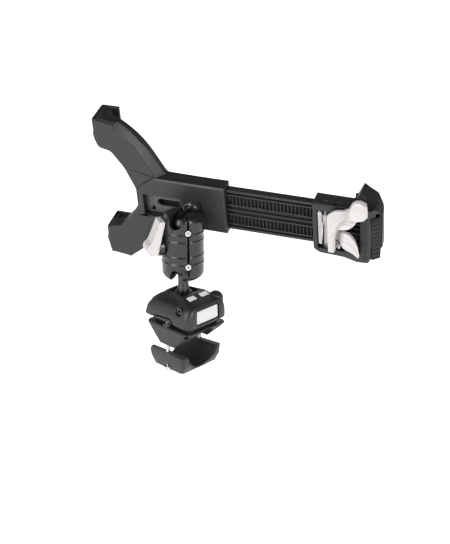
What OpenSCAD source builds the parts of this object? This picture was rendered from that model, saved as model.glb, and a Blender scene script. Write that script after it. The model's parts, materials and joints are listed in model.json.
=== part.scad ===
// Rail tablet mount: a two-jaw clamp for a round rail, a quick-release ball stud,
// a double-ball arm locked by a cam lever, and a ratcheting tablet holder.
// The rail runs along X through the origin, Z is up, and the back of the holder faces -Y.

/* [Rail clamp] */
// Diameter of the rail that the pads close on
rail_d = 32; // [28:0.5:34]
// Thickness of the rubber pads
pad_t = 1.4; // [1:0.1:1.6]
// Length of both pads along the rail
pad_len = 40; // [30:1:42]
// Gap left between the two jaws on that rail
jaw_gap = 6.5; // [5:0.5:9]
// Depth of the lower jaw below the gap
lower_jaw_h = 17.5; // [16.5:0.5:20]
// Height of the upper jaw
upper_jaw_h = 15.5; // [15.5:0.5:18]
// Height of the recessed neck between the jaw and the housing
neck_h = 4; // [3.4:0.2:6]
// Thread diameter of the two clamp screws
clamp_screw_d = 3.4; // [3:0.1:3.6]

/* [Housing] */
// Height of the housing above the neck
housing_h = 21.5; // [21:0.5:24]
// Reach of the housing towards the button end
housing_front_x = 27; // [26:0.5:30]
// Reach of the housing towards the tail end
housing_tail_x = 28; // [26:0.5:30]
// Half width of the housing at the button end
housing_half_w = 23.5; // [23:0.5:26]
// Side of the square pocket round the stud
stud_pocket = 18; // [16:0.5:19]
// Width of the release button
button_w = 25; // [20:0.5:28]
// Height of the release button
button_h = 11.5; // [9:0.5:12]
// Travel of the release button
button_travel = 3; // [2.4:0.1:3.4]

/* [Ball arm] */
// Diameter of both balls
ball_d = 18; // [16:0.5:19]
// Distance between the two ball centres
ball_pitch = 34; // [33:0.5:38]
// Height of the lower ball centre above the housing
ball_lift = 21.7; // [21:0.1:26]
// Diameter of the stud necks
neck_d = 8.4; // [7:0.1:8.8]
// Outer diameter of the arm
arm_d = 33; // [31:0.5:34]
// Reach of the arm past each ball centre
arm_over = 10; // [9:0.5:12]
// Gap between a stud neck and the notch that it tips into
notch_gap = 1; // [0.6:0.1:1.4]
// Gap between the two arm shells
seam_gap = 1.6; // [1:0.1:2]
// Angle of the notches seen from above
arm_yaw = 22; // [0:1:60]
// Angle of the shell seam past the notches
seam_turn = 37; // [33:1:45]
// Diameter of the tension bolt
bolt_d = 5; // [4:0.1:5.4]
// Length of the cam lever above its pin
lever_len = 24; // [20:0.5:25]
// Width of the cam lever
lever_w = 14; // [12:0.5:16]

/* [Holder] */
// Backward lean of the holder
holder_lean = 18.5; // [18:0.5:30]
// Roll of the holder about its stud
holder_roll = 2.5; // [-10:0.5:10]
// Distance from the upper ball centre to the slotted plate
stud_reach = 21.8; // [20.8:0.1:24]
// Reach of the fork to the left of the stud
fork_reach = 75; // [70:1:85]
// Reach of the sleeve to the right of the stud
sleeve_reach = 30; // [26:1:36]
// Thickness of the fork arms
fork_t = 11; // [10:0.5:12.5]
// Thickness of the tablet that the hooks take
tablet_t = 10.5; // [8:0.5:14]
// Thickness of the lips in front of the tablet
lip_t = 2.5; // [2:0.1:4]
// Depth of the slide pocket
pocket_d = 6; // [5.5:0.1:7]
// Travel of the holder on its stud plate
slot_travel = 21; // [10:1:22]

/* [Bar and carriage] */
// Height of the rack bar
bar_h = 37.6; // [36:0.2:38]
// Thickness of the rack bar
bar_t = 6; // [5:0.1:6.4]
// Position of the free end of the rack bar
bar_end = 143; // [138:1:146]
// Pitch of the rack teeth
tooth_pitch = 3; // [2.5:0.1:4]
// Distance from the stud to the near edge of the carriage
carriage_x = 102; // [98:1:108]
// Width of the carriage window
window_w = 34; // [33:0.5:36]
// Diameter of the two lever pins
pin_d = 3; // [2.5:0.1:3.2]
// Width of the thumb plate of the drive lever
thumb_w = 13; // [10:0.5:15]

/* [Hidden] */
$fn = 48;
clear = 0.3;
bore_clear = 0.05;
eps = 0.01;
black = "#26282a";
pale = "#e4e2de";
steel = "#b9bcc0";
rubber = "#17181a";

// Heights in the clamp, from the rail centre outwards
rail_r = rail_d / 2;
pad_r = rail_r + pad_t;
jaw_split_up = 3;
jaw_split_down = jaw_split_up - jaw_gap;
upper_jaw_top = jaw_split_up + upper_jaw_h;
housing_z0 = upper_jaw_top + neck_h;
housing_z1 = housing_z0 + housing_h;
lower_jaw_z = jaw_split_down - lower_jaw_h;
clamp_screw_y = rail_r + clamp_screw_d / 2 + 0.5;
jaw_w = clamp_screw_y + clamp_screw_d / 2 + 0.9;
clamp_head_d = 6.6;
clamp_head_h = 3.4;
clamp_head_z = lower_jaw_z + 5.2;
clamp_nut_r = 3.6;
clamp_nut_h = 3;
clamp_tip_z = upper_jaw_top + clamp_nut_h + 2;
clamp_travel_up = jaw_gap - 0.5;

// Plug, groove and latch inside the housing
plug_r = 5;
plug_z = housing_z0 + 4;
groove_z = housing_z0 + 6.5;
groove_h = 4;
groove_r = 3.4;
latch_z = groove_z + 0.4;
latch_t = groove_h - 0.8;
latch_tail = 8;
latch_w = 15;
spring_room = 8;
button_z = housing_z0 + 2;
button_t = 4.5;
button_x = housing_front_x - 0.7;
riser_x = 18.4;
roof_x = stud_pocket / 2 + 3.5;
roof_fall = atan2(3.4, housing_front_x - 4.2 - roof_x);
mark_y = 7;
mark_x = 3.2;
mark_w = 4.4;
mark_l = 8.2;
mark_t = 1.2;
screw_hole_x = 14;
screw_hole_z = housing_z0 + 13;
screw_sink = 4;
screw_tip_y = housing_half_w - 8.5;

// Places in the ball arm
ball_r = ball_d / 2;
neck_r = neck_d / 2;
notch_r = neck_r + notch_gap;
socket_r = ball_r + clear;
lower_ball_z = housing_z1 + ball_lift;
upper_ball_z = lower_ball_z + ball_pitch;
arm_mid_z = (lower_ball_z + upper_ball_z) / 2;
arm_r = arm_d / 2;
arm_half = ball_pitch / 2 + arm_over;
arm_round = 6;
mouth_angle = 15;
seam_yaw = arm_yaw + seam_turn;
cam_x = -arm_r - 9;
cam_r = 5.6;
cam_off = 0.6;
cam_pin_d = 7.4;
washer_r = 7.5;
washer_x = cam_x + cam_off + cam_r - 1.3;
seat_x = -arm_r + 0.4;
dowel_z = ball_pitch / 2 - 3;
dowel_r = 2.4;
dowel_sink = 1.3;
head_r = 4.6;
head_t = 2.9;

// Places in the holder, from the stud axis and the face of the slotted plate
bar_mid = 5;
bar_y = -2;
sleeve_back = -pocket_d;
sleeve_front = sleeve_back + 13;
sleeve_top = bar_mid + 21.5;
sleeve_low = bar_mid - 21.5;
fork_back = sleeve_front - fork_t;
proud = 0.5;
hook_out = 1.8;
tablet_back = sleeve_front + 0.5;
lip_y = tablet_back + tablet_t;
hook_front = lip_y + lip_t;
hook_wall = 4;
hook_pad_t = 4.5;
slot_plate_t = 2;
stud_plate_t = 3;
stud_plate_w = 18;
collar_t = 1.6;
spigot_r = 3.2;
slot_w = 7;
pocket_h = stud_plate_w + 2.4;
pocket_x0 = -slot_travel - stud_plate_w / 2 - 9;
pocket_x1 = pocket_h / 2 + 0.2;
slot_x0 = -slot_travel - slot_w / 2 - 5;
plate_screw_x = slot_x0 - 3.5;
plate_screw_z = [-6.2, 7.5];
upper_hook_z = [52, 72.5];
lower_hook_z = [-55, -32];
hook_pad_in = 1;
sleeve_left = pocket_x0 - 5;
bar_x0 = pocket_x1 + 5;
bar_screw_x = sleeve_reach - 6;
bar_screw_dz = 9;
rib_w = 1.2;
bar_floor = 2.6;
rack_x0 = sleeve_reach + 3;
rack_n = floor((bar_end - rack_x0 - 3) / tooth_pitch);
row_low = 5;
row_high = 13.4;

// Places in the carriage
car_back = -9;
car_front = tablet_back - 2.5;
car_top = sleeve_top + 3;
car_bottom = sleeve_low - 1;
band_l = 3.5;
band_r = 8.5;
window_z0 = car_bottom + 4.5;
window_z1 = car_top - 6.5;
window_x0 = carriage_x + band_l;
window_x1 = window_x0 + window_w;
car_x1 = window_x1 + band_r;
jaw_face = window_x1 - 7.5;
jaw_right = car_x1 + 5;
jaw_top = car_top + 6.5;
grip_x = car_x1 - 0.6;
grip_l = 8.6;
grip_angle = 42;
grip_z0 = car_bottom + 0.6;
grip_z1 = car_top - 7.6;
pin_r = pin_d / 2;
pawl_pin_x = window_x0 + 6.3;
pawl_pin_y = -5.4;
lever_pin_x = pawl_pin_x + 10;
lever_pin_y = -6;
pin_sink = 2.2;
pawl_ax = 4.4;
pawl_ay = 0.4;
tooth_top = bar_y + 0.7;
row_z = bar_mid + row_low;
row_h = row_high - row_low;
row2_z = bar_mid - row_high;
hub_r = pin_r + 1.5;
top_hub = window_z1 - 5;
low_hub = window_z0 + 6.7;
release_z0 = -2.8;
release_z1 = 6.8;

// Corners with radii become one outline whose round corners are true arcs in steps
function unit(v) = v / norm(v);
function turn(a, b) = atan2(a[0] * b[1] - a[1] * b[0], a[0] * b[0] + a[1] * b[1]);
function corner(a, p, b, r, n) =
    let (u = unit(a - p), v = unit(b - p), half = abs(turn(u, v)) / 2)
    let (t = r / tan(half), c = p + unit(u + v) * r / sin(half))
    let (s = p + u * t - c, sweep = turn(s, p + v * t - c))
    [for (i = [0:n]) let (k = sweep * i / n)
        c + [s[0] * cos(k) - s[1] * sin(k), s[0] * sin(k) + s[1] * cos(k)]];
function xy(p) = [p[0], p[1]];
function outline(pts, n = 6) =
    let (m = len(pts))
    [for (i = [0:m - 1]) let (p = pts[i])
        each (p[2] > 0
            ? corner(xy(pts[(i + m - 1) % m]), xy(p), xy(pts[(i + 1) % m]), p[2], n)
            : [xy(p)])];
function at_z(pts, z) = [for (p = pts) [p[0], p[1], z]];
function at_y(pts, y) = [for (p = pts) [p[0], y, p[1]]];

module plate(pts, h, n = 6) {
    linear_extrude(h) polygon(outline(pts, n));
}
// A plate drawn in X and Z and thick along Y, starting at y
module wall(pts, y, t, n = 6) {
    translate([0, y + t, 0]) rotate([90, 0, 0]) plate(pts, t, n);
}
// A cutter along the edge from a to b of the face at y, which slopes away over width w and depth d
module bevel(a, b, y, w, d) {
    l = norm(xy(b) - xy(a));
    translate([a[0], y, a[1]]) rotate([0, -atan2(b[1] - a[1], b[0] - a[0]), 0]) rotate([90, 0, 90])
        linear_extrude(l) polygon([[-w, -w - w * w / d], [d * 1.2, 0.2 * w], [d * 1.2, w + 6], [-w, w + 6]]);
}
// A closed skin through rings that have the same number of points
module loft(rings) {
    n = len(rings[0]);
    m = len(rings);
    polyhedron(points = [for (r = rings) each r], faces = concat(
        [[for (k = [0:n - 1]) k]],
        [for (i = [0:m - 2]) for (k = [0:n - 1]) for (h = [0, 1])
            let (a = i * n + k, b = i * n + (k + 1) % n)
            h == 0 ? [a, a + n, b + n] : [a, b + n, b]],
        [[for (k = [n - 1:-1:0]) (m - 1) * n + k]]));
}
module box(x0, x1, y0, y1, z0, z1) {
    translate([x0, y0, z0]) cube([x1 - x0, y1 - y0, z1 - z0]);
}
module rod_x(x0, x1, r) {
    translate([x0, 0, 0]) rotate([0, 90, 0]) cylinder(h = x1 - x0, r = r);
}
module rod_y(y0, y1, r) {
    translate([0, y0, 0]) rotate([-90, 0, 0]) cylinder(h = y1 - y0, r = r);
}
module rod_z(z0, z1, r) {
    translate([0, 0, z0]) cylinder(h = z1 - z0, r = r);
}
module both_sides() {
    children();
    mirror([0, 1, 0]) children();
}
module hex_y(y0, y1, r) {
    translate([0, y0, 0]) rotate([-90, 0, 0]) cylinder(h = y1 - y0, r = r, $fn = 6);
}

// A round-wire coil about Z as one closed tube, with its least gap to itself
module coil(r, wire, pitch, turns) {
    rings = round(turns * 8);
    loft([for (i = [0:rings]) let (t = turns * i / rings, a = 360 * t)
        let (c = [r * cos(a), r * sin(a), pitch * t], out = [cos(a), sin(a), 0])
        [for (k = [0:5]) c + wire / 2 * (out * cos(60 * k) + [0, 0, 1] * sin(60 * k))]]);
    echo(least_coil_gap = pitch - wire);
}

// The clamp

// Both long sides close in towards the tail by the same slope
function side(x) = jaw_w + x * 0.075;
function clamp_plan(x0, x1, less, r) = [[-x0, less - side(-x0), r], [x1, less - side(x1), r],
    [x1, side(x1) - less, r], [-x0, side(-x0) - less, r]];
module upper_jaw_form() {
    loft([at_z(outline(clamp_plan(9.5, 10.5, 0.6, 3)), jaw_split_up),
        at_z(outline(clamp_plan(22.5, 25.2, 0.1, 4)), upper_jaw_top - 2.6),
        at_z(outline(clamp_plan(23.2, 26, 0, 4)), upper_jaw_top - 1.2),
        at_z(outline(clamp_plan(22.6, 25.4, 0.7, 3.6)), upper_jaw_top)]);
}
module pads() {
    difference() {
        translate([-pad_len / 2, 0, 0]) rod_x(0, pad_len, pad_r);
        translate([-pad_len, 0, 0]) rod_x(0, 2 * pad_len, rail_r);
        both_sides() translate([0, -clamp_screw_y, 0]) rod_z(-40, 40, clamp_screw_d / 2 + clear);
    }
}
module upper_jaw() color(black) {
    difference() {
        union() {
            upper_jaw_form();
            translate([0, 0, upper_jaw_top - eps])
                plate(clamp_plan(20, 22.5, jaw_w - clamp_screw_y + clamp_nut_r, 3), neck_h + eps);
        }
        translate([-40, 0, 0]) rod_x(0, 80, pad_r);
        both_sides() translate([0, -clamp_screw_y, 0])
            rod_z(-1, housing_z0 + 1, clamp_screw_d / 2 + bore_clear);
        // The cut corner beside the button end
        both_sides() translate([20.2, -side(26), upper_jaw_top - 3.6]) rotate([0, 45, 0]) cube([5, 4.4, 5]);
    }
}
module upper_pad() color(rubber) {
    intersection() {
        pads();
        upper_jaw_form();
    }
}
module lower_jaw_form() {
    loft([at_z(outline(clamp_plan(11.5, 12.5, 6.5, 3)), lower_jaw_z),
        at_z(outline(clamp_plan(16, 17, 1.6, 3)), lower_jaw_z + 3.5),
        at_z(outline(clamp_plan(19.6, 20, 0.3, 3)), lower_jaw_z + 10),
        at_z(outline(clamp_plan(20.5, 20.5, 0, 3)), jaw_split_down - 2.6),
        at_z(outline(clamp_plan(18.6, 20.5, 0, 2.4)), jaw_split_down)]);
}
module lower_jaw() color(black) {
    difference() {
        lower_jaw_form();
        translate([-40, 0, 0]) rod_x(0, 80, pad_r);
        both_sides() translate([0, -clamp_screw_y, 0]) {
            rod_z(lower_jaw_z - 1, 0, clamp_screw_d / 2 + bore_clear);
            rod_z(lower_jaw_z - 1, clamp_head_z, clamp_head_d / 2 + 0.6);
        }
    }
}
module lower_pad() color(rubber) {
    intersection() {
        pads();
        lower_jaw_form();
    }
}
module clamp_screws() color(steel) {
    both_sides() translate([0, -clamp_screw_y, 0]) difference() {
        union() {
            rod_z(clamp_head_z - eps, clamp_tip_z, clamp_screw_d / 2);
            rod_z(clamp_head_z - clamp_head_h, clamp_head_z, clamp_head_d / 2);
        }
        translate([0, 0, clamp_head_z - clamp_head_h - 1]) cylinder(h = 2.8, r = 1.7, $fn = 6);
    }
}
module clamp_nuts() color(steel) {
    both_sides() translate([0, -clamp_screw_y, upper_jaw_top]) difference() {
        cylinder(h = clamp_nut_h, r = clamp_nut_r, $fn = 6);
        rod_z(-1, clamp_nut_h + 1, clamp_screw_d / 2 + bore_clear);
    }
}

// The housing with its button and latch

function housing_ring(z, tail, front, less, r) =
    at_z(outline([[-tail, less - housing_half_w + 5.4, r], [front, less - housing_half_w, r],
        [front, housing_half_w - less, r], [-tail, housing_half_w - less - 5.4, r]]), housing_z0 + z);
module housing_form() {
    t = housing_tail_x;
    f = housing_front_x;
    h = housing_h;
    loft([housing_ring(0, t - 0.8, f - 0.6, 0.8, 5), housing_ring(1, t, f, 0, 6),
        housing_ring(8, t - 2.4, f, 0.2, 6), housing_ring(h - 7.5, t - 6.6, f, 2.2, 6),
        housing_ring(h - 4.6, t - 10, f - 1.4, 5, 5.5), housing_ring(h - 3.4, t - 12.5, f - 4.2, 7, 5),
        housing_ring(h, stud_pocket / 2 + 2, roof_x, housing_half_w - stud_pocket / 2 - 4.2, 2)]);
}
// A block let into the roof where it falls towards the button, and the same for its seat
module roof_block(w, l, down, out) {
    both_sides() translate([roof_x, mark_y, housing_z1]) rotate([0, roof_fall, 0])
        box(mark_x - w / 2, mark_x + w / 2, -l / 2, l / 2, -down, out);
}
arch = [[-19, -1], [-18.6, 0.2], [-13.8, 3], [1, 4.4], [5.4, 4.8], [8, 2], [8, -1]];
module arch_wall(y, t, less) {
    wall([for (p = arch) [p[0] * (1 - less / 14) - less / 3, housing_z0 + p[1] - (p[1] > 0 ? less : 0),
        p[0] > 2 && p[1] > 0 ? 1.6 : 0]], y, t, 4);
}
module base_housing() color(black) {
    y0 = -housing_half_w;
    difference() {
        union() {
            housing_form();
            // Lug on the far corner
            translate([housing_front_x - 7, housing_half_w - 7.4, housing_z0 + 8]) {
                cylinder(h = housing_h - 14, r = 6);
                translate([0, 0, housing_h - 14]) sphere(r = 6);
            }
        }
        // Square pocket round the stud, and the bore of the plug
        box(-stud_pocket / 2, stud_pocket / 2, -stud_pocket / 2, stud_pocket / 2,
            housing_z1 - 2, housing_z1 + 1);
        rod_z(plug_z - clear, housing_z1, plug_r + bore_clear);
        // Button opening in the end face, with the channels of the latch and its spring
        box(button_x - button_t - button_travel - 1, housing_front_x + 1, -button_w / 2 - clear,
            button_w / 2 + clear, button_z - clear, button_z + button_h + clear);
        box(-latch_tail - button_travel - clear, button_x - button_t, -latch_w / 2 - clear,
            latch_w / 2 + clear, latch_z - clear, latch_z + latch_t + clear);
        translate([0, 0, latch_z + latch_t / 2]) rod_x(-latch_tail - spring_room, 0, 2.2);
        box(riser_x - button_travel - clear, button_x - button_t, -5.3, 5.3, button_z,
            button_z + button_h + clear);
        roof_block(mark_w, mark_l, mark_t, 2);
        // Arched groove low on both long sides, round a panel that lies a little deeper
        both_sides() difference() {
            arch_wall(y0 - 1, 6.6, 0);
            arch_wall(y0, 8, 1);
        }
        both_sides() arch_wall(y0 - 1, 2.8, 0.5);
        both_sides() translate([screw_hole_x, y0 - 1, screw_hole_z]) rod_y(0, screw_sink + 3, 3.6);
        both_sides() translate([screw_hole_x, 0, screw_hole_z])
            rod_y(y0, 0.15 - screw_tip_y, 1.6 + bore_clear);
        both_sides() translate([0, -clamp_screw_y, 0])
            rod_z(housing_z0 - 1, clamp_tip_z + clamp_travel_up + 0.5, clamp_screw_d / 2 + 0.15);
    }
}
function button_ring(x, less) = [for (p = outline([
    [-button_w / 2 + less, button_z + less, 1.5], [button_w / 2 - less, button_z + less, 1.5],
    [button_w / 2 - less - 0.6, button_z + button_h - less, 1.5],
    [-button_w / 2 + less + 0.6, button_z + button_h - less, 1.5]])) [x, p[0], p[1]]];
module release_button() color(pale) {
    loft([button_ring(button_x - button_t, 0), button_ring(button_x - 1.2, 0),
        button_ring(button_x - 0.3, 0.4), button_ring(button_x, 1.2)]);
}
module latch_slider() color(pale) {
    x1 = button_x - button_t;
    // A fork whose finger sits in the groove of the plug
    difference() {
        box(-latch_tail, x1, -latch_w / 2, latch_w / 2, latch_z, latch_z + latch_t);
        rod_z(latch_z - 1, latch_z + latch_t + 1, plug_r + 0.6);
        box(0, plug_r + 1 + button_travel, -plug_r - 0.6, plug_r + 0.6, latch_z - 1, latch_z + latch_t + 1);
    }
    box(-latch_tail, -groove_r - clear, -2.6, 2.6, latch_z, latch_z + latch_t);
    // The riser behind the button
    box(riser_x, x1, -5, 5, latch_z, button_z + button_h);
}
module button_spring() color(steel) {
    translate([-latch_tail - spring_room + 0.3, 0, latch_z + latch_t / 2]) rotate([0, 90, 0])
        coil(1.5, 0.6, (spring_room - 0.9) / 6, 6);
}
module roof_marks() color(pale) {
    roof_block(mark_w, mark_l, mark_t, 0.15);
}
module housing_screws() color(steel) {
    y0 = -housing_half_w + screw_sink;
    both_sides() translate([screw_hole_x, 0, screw_hole_z]) difference() {
        union() {
            rod_y(y0, y0 + 2, 2.9);
            rod_y(y0 + 2 - eps, -screw_tip_y, 1.6);
        }
        hex_y(y0 - 1, y0 + 1.4, 1.3);
    }
}

// The ball arm

module lower_stud() color(steel) {
    z1 = housing_z1;
    translate([0, 0, lower_ball_z]) sphere(r = ball_r);
    rotate_extrude() polygon([[0, plug_z], [plug_r - 0.6, plug_z], [plug_r, plug_z + 0.6],
        [plug_r, groove_z], [groove_r, groove_z], [groove_r, groove_z + groove_h],
        [plug_r, groove_z + groove_h], [plug_r, z1 - 2 + clear], [plug_r + 1.6, z1 - 1.6 + clear],
        [plug_r + 1.6, z1 - 0.4], [plug_r, z1], [neck_r + 0.4, z1 + 3.5], [neck_r, z1 + 5.5],
        [neck_r, lower_ball_z], [0, lower_ball_z]]);
}
module arm_place() {
    translate([0, 0, arm_mid_z]) rotate([0, 0, seam_yaw]) children();
}
module arm_profile() {
    steps = 8;
    polygon(concat([[0, -arm_half]],
        [for (i = [0:steps]) let (a = -90 + 90 * i / steps)
            [arm_r - arm_round + arm_round * cos(a), -arm_half + arm_round + arm_round * sin(a)]],
        [for (z = [-12.4, -6.2, 6.2, 12.4]) for (p = [[-0.9, 0], [-0.4, 0.5], [0.4, 0.5], [0.9, 0]])
            [arm_r + p[1], z + p[0]]],
        [for (i = [0:steps]) let (a = 90 * i / steps)
            [arm_r - arm_round + arm_round * cos(a), arm_half - arm_round + arm_round * sin(a)]],
        [[0, arm_half]]));
}
// The path of a stud at one ball: upright through a mouth, and tipped over either way
module notch() {
    rod_z(0, 40, notch_r);
    cylinder(h = 40, r1 = 0.1, r2 = 40 * (tan(mouth_angle) + notch_r / (arm_over + 6)));
    rotate([0, 0, -seam_turn]) for (s = [0, 180]) rotate([0, 0, s]) rotate([holder_lean, 0, 0]) {
        rod_y(0, arm_r + 8, notch_r);
        box(-notch_r, notch_r, 0, arm_r + 8, 0, 40);
    }
}
module arm_body() {
    difference() {
        rotate_extrude() arm_profile();
        for (s = [0, 1]) mirror([0, 0, s]) translate([0, 0, ball_pitch / 2]) {
            sphere(r = socket_r);
            notch();
        }
        rod_x(-arm_r - 2, arm_r + 2, bolt_d / 2 + bore_clear);
        rod_x(-4, 4, 5);
        // Seat of the cam washer and the head of the bolt
        rod_x(-arm_r - 2, seat_x, washer_r + 0.5);
        rod_x(arm_r - head_t - 0.6, arm_r + 2, head_r + 0.6);
        // Flat under the closed lever
        translate([cam_x, 0, 0]) wall([[5, 8, 0], [11.3, lever_len - 0.6, 0], [13.4, lever_len + 5, 0],
            [-10, 40, 0], [-10, 8, 0]], -lever_w / 2 - 0.8, lever_w + 1.6);
        for (s = [0, 180]) rotate([0, 0, s]) for (z = [-1, 1]) translate([0, -arm_r - 1, z * dowel_z]) {
            rod_y(0, 5, dowel_r + bore_clear);
            rod_y(0, dowel_sink + 1, dowel_r + 1.2);
        }
    }
}
module arm_shell_left() color(black) {
    arm_place() intersection() {
        arm_body();
        box(-arm_r - 2, -seam_gap / 2, -arm_r - 2, arm_r + 2, -arm_half - 1, arm_half + 1);
    }
}
module arm_shell_right() color(black) {
    arm_place() intersection() {
        arm_body();
        box(seam_gap / 2, arm_r + 2, -arm_r - 2, arm_r + 2, -arm_half - 1, arm_half + 1);
    }
}
module arm_dowels() color(steel) {
    arm_place() for (s = [0, 180]) rotate([0, 0, s]) for (z = [-1, 1])
        translate([0, -arm_r + 0.7, z * dowel_z]) difference() {
            rod_y(0, 3.3, dowel_r);
            hex_y(-1, 1.2, 1.2);
        }
}
module tension_bolt() color(steel) {
    arm_place() {
        rod_x(cam_x + 2, arm_r - head_t, bolt_d / 2);
        difference() {
            rod_x(arm_r - head_t - 0.6, arm_r - 0.2, head_r);
            translate([arm_r - 2, 0, 0]) rotate([0, 90, 0]) cylinder(h = 4, r = 2, $fn = 6);
        }
    }
}
module shell_spring() color(steel) {
    arm_place() translate([-3.55, 0, 0]) rotate([0, 90, 0]) coil(3.8, 0.9, 1.55, 4);
}
module cam_washer() color(pale) {
    arm_place() difference() {
        rod_x(washer_x, seat_x, washer_r);
        translate([cam_x + cam_off, 0, 0]) rod_y(-10, 10, cam_r + clear);
        rod_x(washer_x - 3, seat_x + 1, bolt_d / 2 + bore_clear);
    }
}
module cam_pin() color(steel) {
    arm_place() translate([cam_x, 0, 0]) difference() {
        rod_y(-lever_w / 2 + 0.5, lever_w / 2 - 0.5, cam_pin_d / 2);
        rod_x(-1, 10, bolt_d / 2 + bore_clear);
    }
}
module cam_lever() color(pale) {
    x = cam_off + cam_r;
    arm_place() translate([cam_x, 0, 0]) difference() {
        union() {
            translate([cam_off, 0, 0]) rod_y(-lever_w / 2, lever_w / 2, cam_r);
            wall([[-5, 0, 0], [3.4, 0, 0], [3.9, 7.9, 1.5], [10.6, lever_len - 1, 0.8],
                [7, lever_len, 1.8], [-2.6, 9, 12], [-5.6, 4, 4]], -lever_w / 2, lever_w);
        }
        rod_y(-lever_w, lever_w, cam_pin_d / 2 + bore_clear);
        // Slot that the bolt swings through as the lever opens
        box(0, x + 1, -bolt_d / 2 - clear, bolt_d / 2 + clear, -bolt_d / 2 - clear, bolt_d / 2 + clear);
        box(-bolt_d / 2 - clear - 1, x + 1, -bolt_d / 2 - clear, bolt_d / 2 + clear, -cam_r - 2, 0);
    }
}

// The upper stud and its sliding plate

module upper_stud_place() {
    translate([0, 0, upper_ball_z]) rotate([0, 0, arm_yaw]) rotate([holder_lean, 0, 0]) children();
}
module holder_place() {
    upper_stud_place() translate([0, stud_reach, 0]) rotate([0, holder_roll, 0]) children();
}
module upper_stud() color(steel) {
    end = stud_reach + slot_plate_t + 2;
    upper_stud_place() {
        sphere(r = ball_r);
        rotate([-90, 0, 0]) rotate_extrude() polygon([[0, 0], [neck_r, 0],
            [neck_r, stud_reach - stud_plate_t - clear], [spigot_r, stud_reach - stud_plate_t - clear],
            [spigot_r, end], [0, end]]);
    }
}
module stud_plate() color(black) {
    w = stud_plate_w / 2;
    holder_place() difference() {
        wall([[-w, -w, 1], [w, -w, 1], [w, w, 1], [-w, w, 1]], -stud_plate_t, stud_plate_t - 0.05);
        rod_y(-10, 10, spigot_r + bore_clear);
    }
}
module collar_ring() color(steel) {
    holder_place() translate([0, -stud_plate_t - collar_t, 0]) difference() {
        rod_y(0, collar_t, neck_r + 2);
        rod_y(-1, collar_t + 1, neck_r + clear);
    }
}
module slide_nut() color(steel) {
    s = slot_w / 2 - clear;
    y1 = slot_plate_t + clear;
    holder_place() difference() {
        union() {
            box(-s, s, -0.05, y1 + eps, -s, s);
            wall([[-8, -6, 1], [8, -6, 1], [8, 6, 1], [-8, 6, 1]], y1, 2);
        }
        rod_y(-10, 10, spigot_r + bore_clear);
    }
}

// The holder body with its fork and sleeve

fork_corner = [sleeve_reach, sleeve_top, 1];
fork_knee = [-20.5, sleeve_top, 5];
fork_bend = [-fork_reach + 37, 58, 70];
fork_tip = [-fork_reach + 18.5, 72, 14];
function fork_points() = let (r = fork_reach, s = sleeve_reach) [[-r + 2.5, 75, 4], fork_tip, fork_bend,
    fork_knee, fork_corner, [s, sleeve_low, 1], [-33, sleeve_low, 8], [-43.5, -46, 14], [-r + 16.5, -59, 5],
    [-r + 1.2, -57, 4], [-r - 1.5, -42, 8], [-r + 1, -30, 2], [-r + 12.5, -27, 3], [-r + 22, -16, 12],
    [-r + 29.8, -3.5, 8], [-r + 29.8, 13, 12], [-r + 22, 32, 20], [-r + 12.3, 46, 6], [-r + 2, 48.5, 5],
    [-r - 1.2, 60, 10]];
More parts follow.
